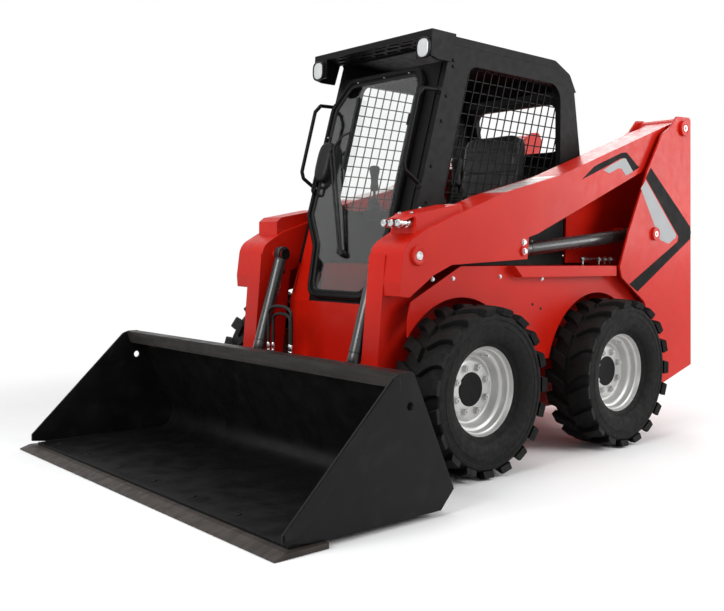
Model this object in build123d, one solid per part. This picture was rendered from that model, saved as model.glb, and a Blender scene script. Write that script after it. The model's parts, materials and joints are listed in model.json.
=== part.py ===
from build123d import *
import os
from math import asin, atan2, cos, degrees, dist, hypot, pi, sin, sqrt

# Skid steer loader, parked with its arms down and its bucket flat on the ground.
# Millimetres. +X is forward, +Y is the machine's left, +Z is up, the ground is Z = 0.
# The origin is on the ground under the middle of the whole machine.

# Wheels and axles
front_axle_x = 300
wheelbase = 1085
rear_axle_x = front_axle_x - wheelbase
tyre_radius = 390
tyre_width = 265
wheel_centre_y = 688
wheel_sides = 38
lug_count = wheel_sides // 2
lug_width = 46
lug_height = 27
lug_root = 46
lug_tip = 10
lug_start = 8
lug_overhang = 44
rim_radius = 223
rim_half_width = 76
rim_flange = 4
rim_sides = 16
bead_radius = 210
hub_radius = 80
hub_back = 60
hub_cap_radius = 78
hub_cap_height = 5
axle_housing_radius = 62

# Tub, fenders and towers
tub_half_width = 388
tub_wall = 10
tub_top = 945
belly_z = 175
belly_plate = 12
tie_down_radius = 20
tie_down_y = 250
tie_down_z = 352
tie_down_plate = 20
hull_setback = 40
hatch_gap = 5
rear_door_thickness = 26
tub_front_x = 535
chain_case_width = 60
chain_case_top = 560
fender_outer_y = 600
fender_plate = 8
fender_top = 952
fender_flange_y = 648
arch_radius = 418
tower_outer_y = 660
tower_plate = 12
tower_foot_x = -1698
tower_foot_z = 358
tower_lean = 0.0664
tower_inner_setback = 60

# Pivots of the lift and tilt linkages, as (x, z)
arm_pivot = (-1521, 1749)
lift_base = (-1246, 1132)
lift_eye = (-119, 1024)
tilt_base = (606, 998)
tilt_eye = (797, 342)
hitch_pivot = (660, 190)
hood_hinge = (-905, 1446)
pin_radius = 25
arm_pin_radius = 30
hitch_pin_radius = 22
pin_clearance = 0.05
rod_clearance = 0.3
seat_gap = 0.3
pin_sides = 12
bar_sides = 10

# Arms
arm_outer_y = 626
arm_inner_y = 450
knee_inner_y = 414
leg_outer_y = 520
arm_wall = 12
cross_tube = (605, 440)
cross_tube_radius = 40
tilt_y = 368
lift_y = (arm_inner_y + arm_outer_y) / 2

# Cylinders: barrel radius, rod radius, eye radius, eye width
lift_barrel_radius = 36
lift_rod_radius = 22
tilt_barrel_radius = 32
tilt_rod_radius = 20
eye_radius = 38
eye_width = 56
tilt_eye_width = 44
lift_rod_show = 44
tilt_rod_show = 125
lift_rod_start = 80
tilt_rod_start = 180

# Bucket and hitch
bucket_half_width = 1063
bucket_plate = 10
edge_half_width = 1085
edge_tip_x = 1700
edge_depth = 230
edge_thickness = 20
edge_ground_gap = 2
bucket_heel = (825, 98)
bucket_back_top = (1058, 572)
heel_radius = 90
hitch_half_width = 546
hitch_plate = 16
ear_plate = 10
ear_gap = 56
foot_boss = 14

# Cab
cab_half_width = 400
cab_wall = 34
cab_front_foot = (531, 760)
cab_front_lean = 0.28
cab_roof_top = 2050
cab_front_top = 1930
visor_half_width = 435
lamp_pod_inner = 335
slot_pitch = 96
front_frame_half_width = cab_half_width - cab_wall - seat_gap
front_frame_depth = 45
cab_sill = fender_top + seat_gap
door_half_width = 300
door_latch_y = -372
door_foot_half = 225
door_lap = 20
door_thickness = 26
door_gap = seat_gap
door_frame_width = 38
glass_thickness = 6
footwell_z = 640
seat_deck_z = 948
floor_plate = 10
seat_box_top = 1060
cushion_height = 110
console_top = 1240
lever_y = 305
screen_wire = 5
screen_pitch = 56
handle_radius = 9
handle_top = 1788
handle_low = 1338

# Hoses on the cross tube. Columns: distance ahead of the tube, outer side, inner side, top
hose_radius = 6.5
hose_foot = 548
hose_bracket = 12
hose_facets = 4
hose_rows = ((125, 308, 118, 738), (113, 284, 144, 700))


def rounded_face(points):
    # Closed face in a plane from rows of (across, up, corner radius)
    face = make_face(Polyline(*[(x, z) for x, z, radius in points], close=True))
    for x, z, radius in points:
        if radius:
            corner = face.vertices().sort_by_distance((x, z, 0))[0]
            face = fillet(corner, radius)
    return face


def side_plate(points, y_low, y_high):
    # An outline seen from the machine's side, made solid from y_low to y_high
    return extrude(Plane.XZ.offset(-y_high) * rounded_face(points), amount=y_high - y_low)


def side_disc(centre, radius, y_low, y_high, sides=pin_sides):
    # A round bar or boss across the machine with flat facets, at centre (x, z)
    disc = Pos(centre[0], centre[1]) * RegularPolygon(radius, sides)
    return extrude(Plane.XZ.offset(-y_high) * disc, amount=y_high - y_low)


def tube_run(points, radius, sides=6):
    # A bent tube with flat facets along straight runs
    path = Polyline(*points)
    start = Plane(origin=points[0], z_dir=[b - a for a, b in zip(points[0], points[1])])
    return sweep(start * RegularPolygon(radius, sides), path=path, transition=Transition.RIGHT)


def side_bore(centre, radius, y_low, y_high):
    # The hole for such a bar: its facets touch the radius from outside
    hole = Pos(centre[0], centre[1]) * RegularPolygon(radius, pin_sides, major_radius=False)
    return extrude(Plane.XZ.offset(-y_high) * hole, amount=y_high - y_low)


def block(x_low, x_high, y_low, y_high, z_low, z_high):
    size = Box(x_high - x_low, y_high - y_low, z_high - z_low)
    return Pos((x_low + x_high) / 2, (y_low + y_high) / 2, (z_low + z_high) / 2) * size


def right_of(piece):
    # The same piece on the machine's other side
    return mirror(piece, about=Plane.XZ)


def group(*pieces):
    # Separate solids that share one node
    return Compound(children=[solid for piece in pieces for solid in piece.solids()])


def tower_rear(z):
    return tower_foot_x + (z - tower_foot_z) * tower_lean


def cab_front(z):
    return cab_front_foot[0] - (z - cab_front_foot[1]) * cab_front_lean


def front_plane():
    return Plane(origin=(cab_front_foot[0], 0, cab_front_foot[1]), x_dir=(0, 1, 0), z_dir=(1, 0, cab_front_lean))


front_slope = sqrt(1 + cab_front_lean**2)
frame_height = (cab_front_top - cab_front_foot[1]) * front_slope


def on_front(face, near, far):
    # A flat face stood on the leaning front of the cab, from near to far ahead of it
    return extrude(front_plane().offset(near) * face, amount=far - near)


door_low = 14
door_high = frame_height - 22


def door_face(margin):
    # The door's outline, drawn in by a margin: narrow at the foot, wide beside the seat, cut off at the top.
    # Its hinge side is straight; rows are (across, up, corner radius)
    outline = [
        (-door_foot_half, door_low, 70),
        (door_foot_half, door_low, 70),
        (door_half_width, 380, 50),
        (door_half_width, door_high - 70, 40),
        (door_half_width - 50, door_high, 40),
        (-door_half_width + 36, door_high, 60),
        (door_latch_y, door_high - 150, 60),
        (door_latch_y, 440, 60),
        (-door_foot_half - 40, 280, 60),
    ]
    return offset(rounded_face(outline), amount=-margin) if margin else rounded_face(outline)


# Wheels ---------------------------------------------------------------------------

axle_z = tyre_radius
carcass_radius = tyre_radius - lug_height
lug_sweep = 2 * carcass_radius * sin(pi / wheel_sides)
# A bar's flat top reaches the tyre's full radius at its two far corners
lug_corner = (lug_width + lug_sweep) / 2
lug_flat_radius = sqrt(tyre_radius**2 - lug_corner**2)


def faceted_turn(profile, sides):
    # Turns a closed profile of (radius, distance outward) about the wheel's axis, with flat facets
    turn = 2 * pi / sides
    rings = [[(r * sin(turn * i), y, r * cos(turn * i)) for i in range(sides)] for r, y in profile]
    faces = []
    for low, high in zip(rings, rings[1:] + rings[:1]):
        for i in range(sides):
            corners = [low[i - 1], low[i], high[i], high[i - 1]]
            apart = [corner for k, corner in enumerate(corners) if dist(corner, corners[k - 1]) > 0]
            if len(apart) > 2:
                faces.append(Face(Wire.make_polygon(apart)))
    return Solid(Shell(faces)).clean()


def tyre():
    side = tyre_width / 2 - lug_overhang
    bead_y = rim_half_width - rim_flange - 2 - seat_gap
    walls = [(bead_radius, -bead_y), (carcass_radius, -side), (carcass_radius, side), (bead_radius, bead_y)]
    carcass = faceted_turn(walls, wheel_sides)
    # One bar of the tread: inner end near the middle, outer end over the sidewall
    outer_y = tyre_width / 2
    half = lug_width / 2
    bar = Polyline(
        (-half, outer_y), (half, outer_y), (half + lug_sweep, lug_start), (lug_sweep - half, lug_start), close=True
    )
    root = carcass_radius - lug_root
    lug = extrude(Pos(-lug_sweep / 2, 0, root) * make_face(bar), amount=lug_flat_radius - root)
    # The bar's outer end leans in to the sidewall
    under = Polyline((outer_y, lug_flat_radius - lug_tip), (outer_y + 5, root - 5), (side - 5, root - 5), close=True)
    lug -= extrude(Plane.YZ * make_face(under), amount=tyre_width, both=True)
    other = mirror(lug, about=Plane.XZ)
    step = 360 / lug_count
    lugs = [Rot(0, step * i, 0) * lug for i in range(lug_count)]
    lugs += [Rot(0, step * (i + 0.5), 0) * other for i in range(lug_count)]
    # The outer corner of one bar stands on the ground
    return Rot(0, 180 + degrees(asin(lug_corner / tyre_radius)), 0) * (carcass + lugs)


def rim():
    flange = rim_half_width - rim_flange
    seat = bead_radius * cos(pi / wheel_sides) - seat_gap
    # From the hub's outer face out over the dish, round the rim and back inside
    profile = [
        (0, -18),
        (150, -18),
        (178, -10),
        (188, 44),
        (204, rim_half_width),
        (rim_radius, rim_half_width),
        (rim_radius, flange),
        (seat, flange),
        (seat, -rim_half_width),
        (198, -rim_half_width),
        (192, -30),
        (hub_radius, -30),
        (hub_radius, -hub_back),
        (0, -hub_back),
    ]
    cap = side_disc((0, 0), hub_cap_radius, -19, hub_cap_height - 18)
    return faceted_turn(profile, rim_sides) + cap


# Chassis --------------------------------------------------------------------------


def main_frame():
    inner = tub_half_width - tub_wall
    rear_x = tower_rear(500) + hull_setback
    rear_top_x = tower_rear(tub_top) + hull_setback
    wall_outline = [
        (tub_front_x - 60, tub_top, 0),
        (tub_front_x, cab_front_foot[1], 0),
        (tub_front_x, 300, 0),
        (tub_front_x - 80, belly_z, 0),
        (-1330, belly_z, 0),
        (rear_x, 400, 0),
        (rear_x, 500, 0),
        (rear_top_x, tub_top, 0),
    ]
    frame = side_plate(wall_outline, -tub_half_width, tub_half_width)
    # The hollow of the tub, open upward, between a belly plate and the front panel
    hollow = [
        (tub_front_x - 80, tub_top + 50, 0),
        (tub_front_x - 12, cab_front_foot[1], 0),
        (tub_front_x - 12, 310, 0),
        (tub_front_x - 86, belly_z + belly_plate, 0),
        (-1320, belly_z + belly_plate, 0),
        (rear_x + 14, 412, 0),
        (rear_x + 14, tub_top + 50, 0),
    ]
    chain_inner = tub_half_width - chain_case_width
    frame -= side_plate(hollow, -chain_inner, chain_inner)
    frame -= block(-1700, tub_front_x - 12, -inner, inner, chain_case_top, tub_top + 50)
    # The cab's front frame stands in a cut down to the sill
    cut = Pos(0, frame_height / 2) * Rectangle(2 * (front_frame_half_width + seat_gap), frame_height)
    frame -= on_front(cut, -front_frame_depth - seat_gap, 200)
    # Rear bumper beam with its tie-down eyes
    bumper = block(rear_x - 46, rear_x, -tub_half_width + 2, tub_half_width - 2, 400, 500)
    frame += bumper
    # Tie-down eyes hang under the beam, open to the rear
    eye_front = rear_x - 14
    for side in (-1, 1):
        outline = rounded_face([(-38, 402, 0), (38, 402, 0), (38, 330, 0), (20, 312, 0), (-20, 312, 0), (-38, 330, 0)])
        eye = outline - Pos(0, tie_down_z) * Circle(tie_down_radius)
        frame += extrude(Plane.YZ.offset(eye_front) * Pos(side * tie_down_y, 0) * eye, amount=-tie_down_plate)
    # Axle housings reach from the chain cases to the hubs
    reach = wheel_centre_y - hub_back - seat_gap
    for axle_x in (front_axle_x, rear_axle_x):
        for y_low, y_high in ((tub_half_width - 5, reach), (-reach, -tub_half_width + 5)):
            frame += side_disc((axle_x, axle_z), axle_housing_radius, y_low, y_high)
    return frame


def fender_left():
    lower_z = 480
    outline = [
        (front_axle_x + 320, 795, 0),
        (300, fender_top, 0),
        (-1005, fender_top, 0),
        (-1110, 800, 0),
        (-1170, 748, 0),
        (-1225, 600, 0),
        (-1225, lower_z, 0),
        (front_axle_x + 335, lower_z, 0),
        (front_axle_x + 335, 720, 0),
    ]
    skirt = side_plate(outline, fender_outer_y - fender_plate, fender_outer_y)
    for axle_x in (front_axle_x, rear_axle_x):
        skirt -= side_disc((axle_x, axle_z), arch_radius, 500, 700, 2 * wheel_sides)
        skirt -= block(axle_x - arch_radius, axle_x + arch_radius, 500, 700, 0, axle_z)
    inner = tub_half_width + seat_gap
    deck = block(-1000, 250, inner, fender_outer_y, fender_top - fender_plate, fender_top)
    flange = side_plate(
        [
            (-30, fender_top, 0),
            (-895, fender_top, 0),
            (-895, fender_top - 54, 0),
            (-92, fender_top - 54, 0),
        ],
        fender_outer_y,
        fender_flange_y,
    )
    return skirt + deck + flange


def tower_outline(setback):
    # The visible shape of a tower plate; setback moves its rear edge forward
    top_z = arm_pivot[1] + 70
    return [
        (tower_rear(top_z) + setback, top_z, 25),
        (-1450, top_z - 8, 0),
        (-1380, 1742, 0),
        (-1302, 1700, 60),
        (-1158, 1486, 0),
        (-985, 1137, 0),
        (-908, 945, 0),
    ]


def tower_left():
    outer = side_plate(
        tower_outline(0)
        + [
            (-930, 888, 0),
            (-1168, 748, 80),
            (-1300, 420, 0),
            (-1350, 262, 40),
            (tower_foot_x, tower_foot_z, 0),
        ],
        tower_outer_y - tower_plate,
        tower_outer_y,
    )
    inner_low = tub_half_width
    inner_high = tub_half_width + tower_plate
    inner = side_plate(
        tower_outline(tower_inner_setback)[:5]
        + [
            (-1120, 1470, 0),
            (-884, 1470, 0),
            (-770, 1230, 0),
            (-770, fender_top + 12, 0),
            (-1010, fender_top + 12, 0),
            (-1010, tower_foot_z, 0),
            (tower_foot_x + tower_inner_setback, tower_foot_z, 0),
        ],
        inner_low,
        inner_high,
    )
    web_x = tower_rear(1500) + 60
    web = block(web_x, web_x + tower_plate, inner_high - 1, tower_outer_y - tower_plate + 1, 420, 1560)
    foot = block(web_x - tower_inner_setback, web_x + 20, inner_high - 1, tower_outer_y - tower_plate + 1, 420, 432)
    tower = outer + inner + web + foot
    pin_low = inner_low + 2
    tower += side_disc(arm_pivot, arm_pin_radius, pin_low, tower_outer_y - 1)
    tower += side_disc(arm_pivot, 44, tower_outer_y - 1, tower_outer_y + 16)
    tower += side_disc(lift_base, pin_radius, pin_low, tower_outer_y - 1)
    tower += side_disc(lift_base, 36, tower_outer_y - 1, tower_outer_y + 14)
    for y_low, y_high in (
        (inner_high - 1, lift_y - eye_width / 2 - seat_gap),
        (lift_y + eye_width / 2 + seat_gap, tower_outer_y - tower_plate + 1),
    ):
        tower += side_disc(lift_base, pin_radius + 12, y_low, y_high)
    return tower


def engine_block():
    return block(-1315, -860, -270, 270, belly_z + belly_plate + seat_gap, 1000)


# Cab ------------------------------------------------------------------------------

# The cab's rear edge from the roof down, as (x, z)
cab_rear_edge = [(-640, 2010), (-745, 1974), (-816, 1900), (-890, 1530), (-745, 1230), (-745, cab_sill)]
screen_outline = [
    (cab_front(1925) - 165, 1925, 70),
    (cab_front(1235) - 165, 1235, 70),
    (-640, 1235, 70),
    (-705, 1480, 0),
    (-690, 1925, 90),
]


def cab_side_left():
    outline = [
        (cab_front(2010) - 6, 2010 - seat_gap, 0),
        *[(x, z - seat_gap, 0) for x, z in cab_rear_edge[:-1]],
        (*cab_rear_edge[-1], 0),
        (cab_front(cab_sill) - 6, cab_sill, 0),
    ]
    wall = side_plate(outline, cab_half_width - cab_wall, cab_half_width)
    wall -= side_plate(screen_outline, 0, 1000)
    # Grab handle ahead of the front pillar, its ends let into the wall's front edge
    handle = [
        (cab_front(handle_top) - 20, handle_top),
        (cab_front(handle_top) + 102, handle_top - 4),
        (cab_front(handle_top) + 138, handle_top - 40),
        (cab_front(handle_low) + 98, handle_low + 90),
        (cab_front(handle_low) + 88, handle_low + 56),
        (cab_front(handle_low) - 20, handle_low - 12),
    ]
    handle_y = cab_half_width - cab_wall / 2
    return wall + tube_run([(x, handle_y, z) for x, z in handle], handle_radius)


def side_screen_left():
    # A welded wire grid inside the side wall: uprights outside, level wires inside
    face_y = cab_half_width - cab_wall - seat_gap
    lean = cab_front_lean
    low, high = 1215, 1945
    front = cab_front(low) - 150
    wires = []
    count = int((front + 725) / screen_pitch)
    for i in range(count):
        foot_x = front - i * screen_pitch
        drop = max(0, -735 - (foot_x - (high - low) * lean))
        top = high - drop / lean
        if top - low < 100:
            continue
        half = screen_wire / 2
        wires.append(
            side_plate(
                [
                    (foot_x - half, low, 0),
                    (foot_x + half, low, 0),
                    (foot_x + half - (top - low) * lean, top, 0),
                    (foot_x - half - (top - low) * lean, top, 0),
                ],
                face_y - screen_wire,
                face_y,
            )
        )
    level_y = face_y - screen_wire - seat_gap
    z = low + 34
    while z < high:
        x_front = cab_front(z) - 150
        x_rear = -655 - min(z - 1235, 245) * 65 / 245
        wires.append(block(x_rear, x_front, level_y - screen_wire, level_y, z, z + screen_wire))
        z += screen_pitch
    return group(*wires)


def cab_rear_wall():
    # Follows the rear edge of the side walls, between them, with the rear window cut
    inner = cab_half_width - cab_wall - seat_gap
    outer_edge = [(x, z) for x, z in cab_rear_edge if z < 1950]
    outline = [(-812, 1892), *outer_edge[1:], (-711, cab_sill), (-711, 1238), (-854, 1534), (-779, 1885)]
    shell = side_plate([(x, z, 0) for x, z in outline], -inner, inner)
    window = rounded_face([(-300, 1590, 60), (300, 1590, 60), (300, 1850, 60), (-300, 1850, 60)])
    return shell - extrude(Plane.YZ.offset(-1000) * window, amount=400)


def cab_roof():
    # The cap over the side walls, and the visor with its three rows of slots
    cap = side_plate(
        [
            (180, 2010, 0),
            (180, cab_roof_top, 0),
            (-640, cab_roof_top, 60),
            (-772, 1992, 40),
            (-832, 1902, 0),
            (-816, 1900, 0),
            (-745, 1974, 0),
            (-640, 2010, 0),
        ],
        -cab_half_width,
        cab_half_width,
    )
    visor = side_plate(
        [
            (180, 2020, 0),
            (180, cab_roof_top, 0),
            (344, cab_roof_top, 0),
            (350, 1925, 0),
            (338, 1925, 0),
            (332, 2036, 0),
        ],
        -visor_half_width,
        visor_half_width,
    )
    for side in (-1, 1):
        cheek_low = min(side * visor_half_width, side * (visor_half_width - 12))
        visor += side_plate(
            [(180, 2020, 0), (340, 2040, 0), (346, 1925, 0), (300, 1915, 0), (214, 1915, 0)],
            cheek_low,
            cheek_low + 12,
        )
    # Columns: place along the machine, sideways shift of the row
    slot_rows = ((210, 0), (252, slot_pitch / 2), (294, 0))
    for slot_x, shift in slot_rows:
        for i in range(-4, 4):
            centre = (i + 0.25) * slot_pitch + shift
            if abs(centre) < visor_half_width - 60:
                visor -= block(
                    slot_x - 12, slot_x + 12, centre - 0.4 * slot_pitch, centre + 0.4 * slot_pitch, 2000, 2100
                )
    # Window in the visor's front, leaving the lamp pods at its ends
    visor -= block(320, 370, -lamp_pod_inner, lamp_pod_inner, 1900, 2020)
    return cap + visor


def cab_front_frame():
    plate = Pos(0, (frame_height + seat_gap) / 2) * Rectangle(2 * front_frame_half_width, frame_height - seat_gap)
    return on_front(plate, -front_frame_depth, 0) - on_front(door_face(door_lap), -200, 200)


def cab_floor():
    # Footwell, riser and seat deck in one bent plate, with the seat box and both consoles on it
    inner = tub_half_width - tub_wall - seat_gap
    plate = [
        (tub_front_x - 14, footwell_z, 0),
        (-190, footwell_z, 0),
        (-230, seat_deck_z, 0),
        (-700, seat_deck_z, 0),
        (-700, seat_deck_z - floor_plate, 0),
        (-240, seat_deck_z - floor_plate, 0),
        (-200, footwell_z - floor_plate, 0),
        (tub_front_x - 14, footwell_z - floor_plate, 0),
    ]
    floor = side_plate(plate, -inner, inner)
    floor += block(-640, -260, -230, 230, seat_deck_z - 1, seat_box_top)
    for side in (-1, 1):
        middle = side * lever_y
        floor += block(-560, 60, middle - 45, middle + 45, console_top - 60, console_top)
        floor += block(-500, -380, middle - 30, middle + 30, seat_deck_z - 1, console_top - 59)
    return floor


def seat_cushions():
    low = seat_box_top + seat_gap
    cushion = block(-620, -170, -225, 225, low, low + cushion_height)
    low += cushion_height + seat_gap
    back = side_plate([(-640, low, 0), (-520, low, 0), (-590, 1700, 40), (-680, 1700, 0)], -220, 220)
    return group(cushion, back)


def control_levers():
    parts = []
    for side in (-1, 1):
        foot = Pos(20, side * lever_y, console_top + seat_gap)
        boot = foot * extrude(RegularPolygon(32, 10), amount=40, taper=20)
        stick = foot * extrude(RegularPolygon(11, 8), amount=150)
        grip = foot * Pos(0, 0, 140) * extrude(RegularPolygon(22, 10), amount=105)
        parts.append(boot + stick + grip)
    return group(*parts)


def lamps():
    lens = extrude(Plane.YZ * RegularPolygon(36, 16), amount=12)
    pod = visor_half_width - 45
    return group(*[Pos(350 + seat_gap, side * pod, 1966) * lens for side in (-1, 1)])


# Cab door, engine hood, rear door -------------------------------------------------


def door_frame():
    return on_front(door_face(0) - door_face(door_frame_width), door_gap, door_gap + door_thickness)


def door_glass():
    near = door_gap + door_thickness - glass_thickness - 4
    return on_front(door_face(door_frame_width + seat_gap), near, near + glass_thickness)


def engine_hood():
    inner = tub_half_width - hatch_gap
    outline = [
        (-905, 1452, 0),
        (-1500, 1352, 60),
        (tower_rear(1260) + hull_setback, 1260, 0),
        (tower_rear(1260) + hull_setback + 12, 1256, 0),
        (-1490, 1340, 60),
        (-905, 1440, 0),
    ]
    hood = side_plate(outline, -inner, inner)
    # Hinge pins at its front corners reach to the side walls of the engine bay
    reach = tub_half_width - seat_gap
    return hood + side_disc(hood_hinge, 8, -reach, reach)


def rear_door():
    inner = tub_half_width - hatch_gap
    low, high = 504, 1250
    near = hull_setback - seat_gap
    far = near - rear_door_thickness
    panel = side_plate(
        [
            (tower_rear(low) + far, low, 0),
            (tower_rear(high) + far, high, 0),
            (tower_rear(high) + near, high, 0),
            (tower_rear(low) + near, low, 0),
        ],
        -inner,
        inner,
    )
    for i in range(7):
        z = 620 + i * 60
        panel -= block(-1720, -1500, -260, 260, z, z + 26)
    return panel


# Loader arms ----------------------------------------------------------------------

arm_outline = [
    (-1585, 1700, 0),
    (-1590, 1780, 0),
    (-1540, 1815, 0),
    (-1450, 1775, 0),
    (-398, 1409, 0),
    (66, 1290, 0),
    (560, 1112, 0),
    (690, 1040, 90),
    (711, 880, 0),
    (706, 822, 0),
    (655, 816, 0),
    (500, 914, 0),
    (389, 958, 0),
    (-152, 986, 0),
    (-160, 1094, 0),
    (-230, 1112, 0),
    (-1234, 1509, 0),
]
knee_outline = [
    (335, 1186, 0),
    (560, 1112, 0),
    (690, 1040, 90),
    (711, 880, 0),
    (500, 914, 0),
    (389, 958, 0),
    (335, 962, 0),
]
leg_outline = [
    (702, 1000, 0),
    (742, 500, 0),
    (738, 200, 0),
    (720, 145, 0),
    (670, 112, 0),
    (620, 120, 0),
    (586, 160, 0),
    (560, 500, 0),
    (515, 905, 0),
]


def arm_left():
    outer_face = Plane.XZ.offset(-arm_outer_y) * rounded_face(arm_outline)
    beam = extrude(outer_face, amount=arm_outer_y - arm_inner_y)
    plain_outline = [(x, z, 0) for x, z, radius in arm_outline]
    inside = offset(rounded_face(plain_outline), amount=-arm_wall, kind=Kind.INTERSECTION)
    beam -= extrude(
        Plane.XZ.offset(-(arm_outer_y - arm_wall)) * inside,
        amount=arm_outer_y - arm_inner_y - 2 * arm_wall,
    )
    # The floor of the beam is open over the lift cylinder's eye
    beam -= block(-440, -60, arm_inner_y + arm_wall, arm_outer_y - arm_wall, 900, 1200)
    beam += side_plate(
        [(-58, 984, 0), (-46, 984, 0), (-46, 1316, 0), (-58, 1319, 0)],
        arm_inner_y + arm_wall - 1,
        arm_outer_y - arm_wall + 1,
    )
    knee = side_plate(knee_outline, knee_inner_y, arm_inner_y + arm_wall)
    leg = side_plate(leg_outline, knee_inner_y, leg_outer_y)
    arm = beam + knee + leg
    # Rear pivot tube between the tower plates
    pivot_low = tub_half_width + tower_plate + seat_gap
    pivot_high = tower_outer_y - tower_plate - seat_gap
    arm += side_disc(arm_pivot, 62, pivot_low, pivot_high, 16)
    arm -= side_bore(arm_pivot, arm_pin_radius + pin_clearance, 0, 1000)
    # Boss and pin of the tilt cylinder
    arm += side_disc(tilt_base, 42, arm_outer_y - 1, arm_outer_y + 12)
    arm += side_disc(tilt_base, pin_radius, tilt_y - tilt_eye_width / 2 - 8, knee_inner_y + 1)
    # Cap over the lift cylinder's pin
    arm += side_disc(lift_eye, 24, arm_outer_y - 1, arm_outer_y + 8)
    # Foot bore for the hitch pin, with side bosses out to the hitch ears
    foot_low = tilt_y + ear_gap / 2 + ear_plate + seat_gap
    arm += side_disc(hitch_pivot, 46, foot_low, leg_outer_y + foot_boss - seat_gap)
    arm -= side_bore(hitch_pivot, hitch_pin_radius + pin_clearance, 0, 1000)
    # Cover for the hydraulic couplers on top of the knee
    arm += side_plate(
        [(280, 1195, 0), (300, 1238, 0), (560, 1188, 0), (590, 1165, 0), (590, 1095, 0)],
        knee_inner_y + 20,
        arm_outer_y - 30,
    )
    return arm


def arm_cross_tube():
    half = knee_inner_y - seat_gap
    tube = side_disc(cross_tube, cross_tube_radius, -half, half, 20)
    # Bracket that carries the hoses' fittings, ahead of the tube
    bracket_top = cross_tube[1] + cross_tube_radius
    outer, inner = hose_rows[0][1:3]
    low = bracket_top - hose_bracket
    far = cross_tube[0] + hose_rows[0][0] + 16
    return tube + block(cross_tube[0], far, -outer - 12, 16 - inner, low, bracket_top)


def aux_hoses():
    parts = []
    floor = cross_tube[1] + cross_tube_radius + seat_gap
    for ahead, outer, inner, top in hose_rows:
        x = cross_tube[0] + ahead
        points = [(x, -outer, hose_foot), (x, -outer, top), (x, -inner, top), (x, -inner, hose_foot)]
        bend = 0.45 * min(top - hose_foot, outer - inner)
        print("hose bend radius", round(bend, 1))
        path = FilletPolyline(*points, radius=bend)
        section = Plane(origin=points[0], z_dir=(0, 0, 1)) * RegularPolygon(hose_radius, hose_facets)
        hose = sweep(section, path=path)
        for y in (-outer, -inner):
            foot = Pos(x, y, 0)
            hose += foot * Pos(0, 0, floor + 16) * extrude(RegularPolygon(9, 8), amount=hose_foot + 6 - floor - 16)
            hose += foot * Pos(0, 0, floor) * extrude(RegularPolygon(13, 6), amount=18)
        parts.append(hose)
    return group(*parts)


def quick_couplers():
    bodies = []
    for i in range(3):
        body = extrude(Plane.YZ * RegularPolygon(14, 12), amount=70)
        bodies.append(Pos(590 + seat_gap, 465 + 46 * i, 1140) * body)
    return group(*bodies)


# Cylinders ------------------------------------------------------------------------


def cylinder_plane(base, eye, y):
    # Frame at the base pin whose +X runs to the rod's eye
    along = (eye[0] - base[0], 0, eye[1] - base[1])
    return Plane(origin=(base[0], y, base[1]), x_dir=along, z_dir=(0, -1, 0))


def bar_along(plane, radius, start, end):
    bar = extrude(Plane.YZ * RegularPolygon(radius, bar_sides), amount=end - start)
    return plane * (Pos(start, 0, 0) * bar)


def barrel(base, eye, y, radius, rod_radius, pin, width, length):
    plane = cylinder_plane(base, eye, y)
    body = bar_along(plane, radius, eye_radius + 6, length)
    body += bar_along(plane, width / 2 - 4, eye_radius - 6, eye_radius + 10)
    body += side_disc(base, eye_radius, y - width / 2, y + width / 2)
    body -= side_bore(base, pin + pin_clearance, y - 100, y + 100)
    body -= bar_along(plane, rod_radius + rod_clearance, 60, length + 10)
    return body


def rod(base, eye, y, rod_radius, width, start, pin_reach):
    plane = cylinder_plane(base, eye, y)
    span = hypot(eye[0] - base[0], eye[1] - base[1])
    body = bar_along(plane, rod_radius, start, span - 10)
    body += side_disc(eye, eye_radius - 4, y - width / 2, y + width / 2)
    # The eye carries its own pin, which ends short of the lug plates
    body += side_disc(eye, 18, y - pin_reach, y + pin_reach, 8)
    return body


# A barrel ends short of its rod's eye by the length of rod that shows
lift_barrel_length = dist(lift_base, lift_eye) - eye_radius - lift_rod_show
tilt_barrel_length = dist(tilt_base, tilt_eye) - eye_radius - tilt_rod_show


def lift_barrel_left():
    return barrel(
        lift_base, lift_eye, lift_y, lift_barrel_radius, lift_rod_radius, pin_radius, eye_width, lift_barrel_length
    )


def lift_rod_left():
    return rod(lift_base, lift_eye, lift_y, lift_rod_radius, eye_width, lift_rod_start, 60)


def tilt_barrel_left():
    return barrel(
        tilt_base, tilt_eye, tilt_y, tilt_barrel_radius, tilt_rod_radius, pin_radius, tilt_eye_width, tilt_barrel_length
    )


def tilt_rod_left():
    return rod(tilt_base, tilt_eye, tilt_y, tilt_rod_radius, tilt_eye_width - 4, tilt_rod_start, 24)


# Bucket ---------------------------------------------------------------------------

back_angle = atan2(bucket_back_top[0] - bucket_heel[0], bucket_back_top[1] - bucket_heel[1])
back_length = dist(bucket_heel, bucket_back_top)


def on_back(up, behind):
    # A point (x, z) up along the bucket's back and behind it
    return (
        bucket_heel[0] + up * sin(back_angle) - behind * cos(back_angle),
        bucket_heel[1] + up * cos(back_angle) + behind * sin(back_angle),
    )


def back_plate(low, high, near, far, half_width):
    # A bar across the back of the bucket, between two heights and two distances behind it
    corners = [(low, near), (high, near), (high, far), (low, far)]
    return side_plate([(*on_back(up, behind), 0) for up, behind in corners], -half_width, half_width)


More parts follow.
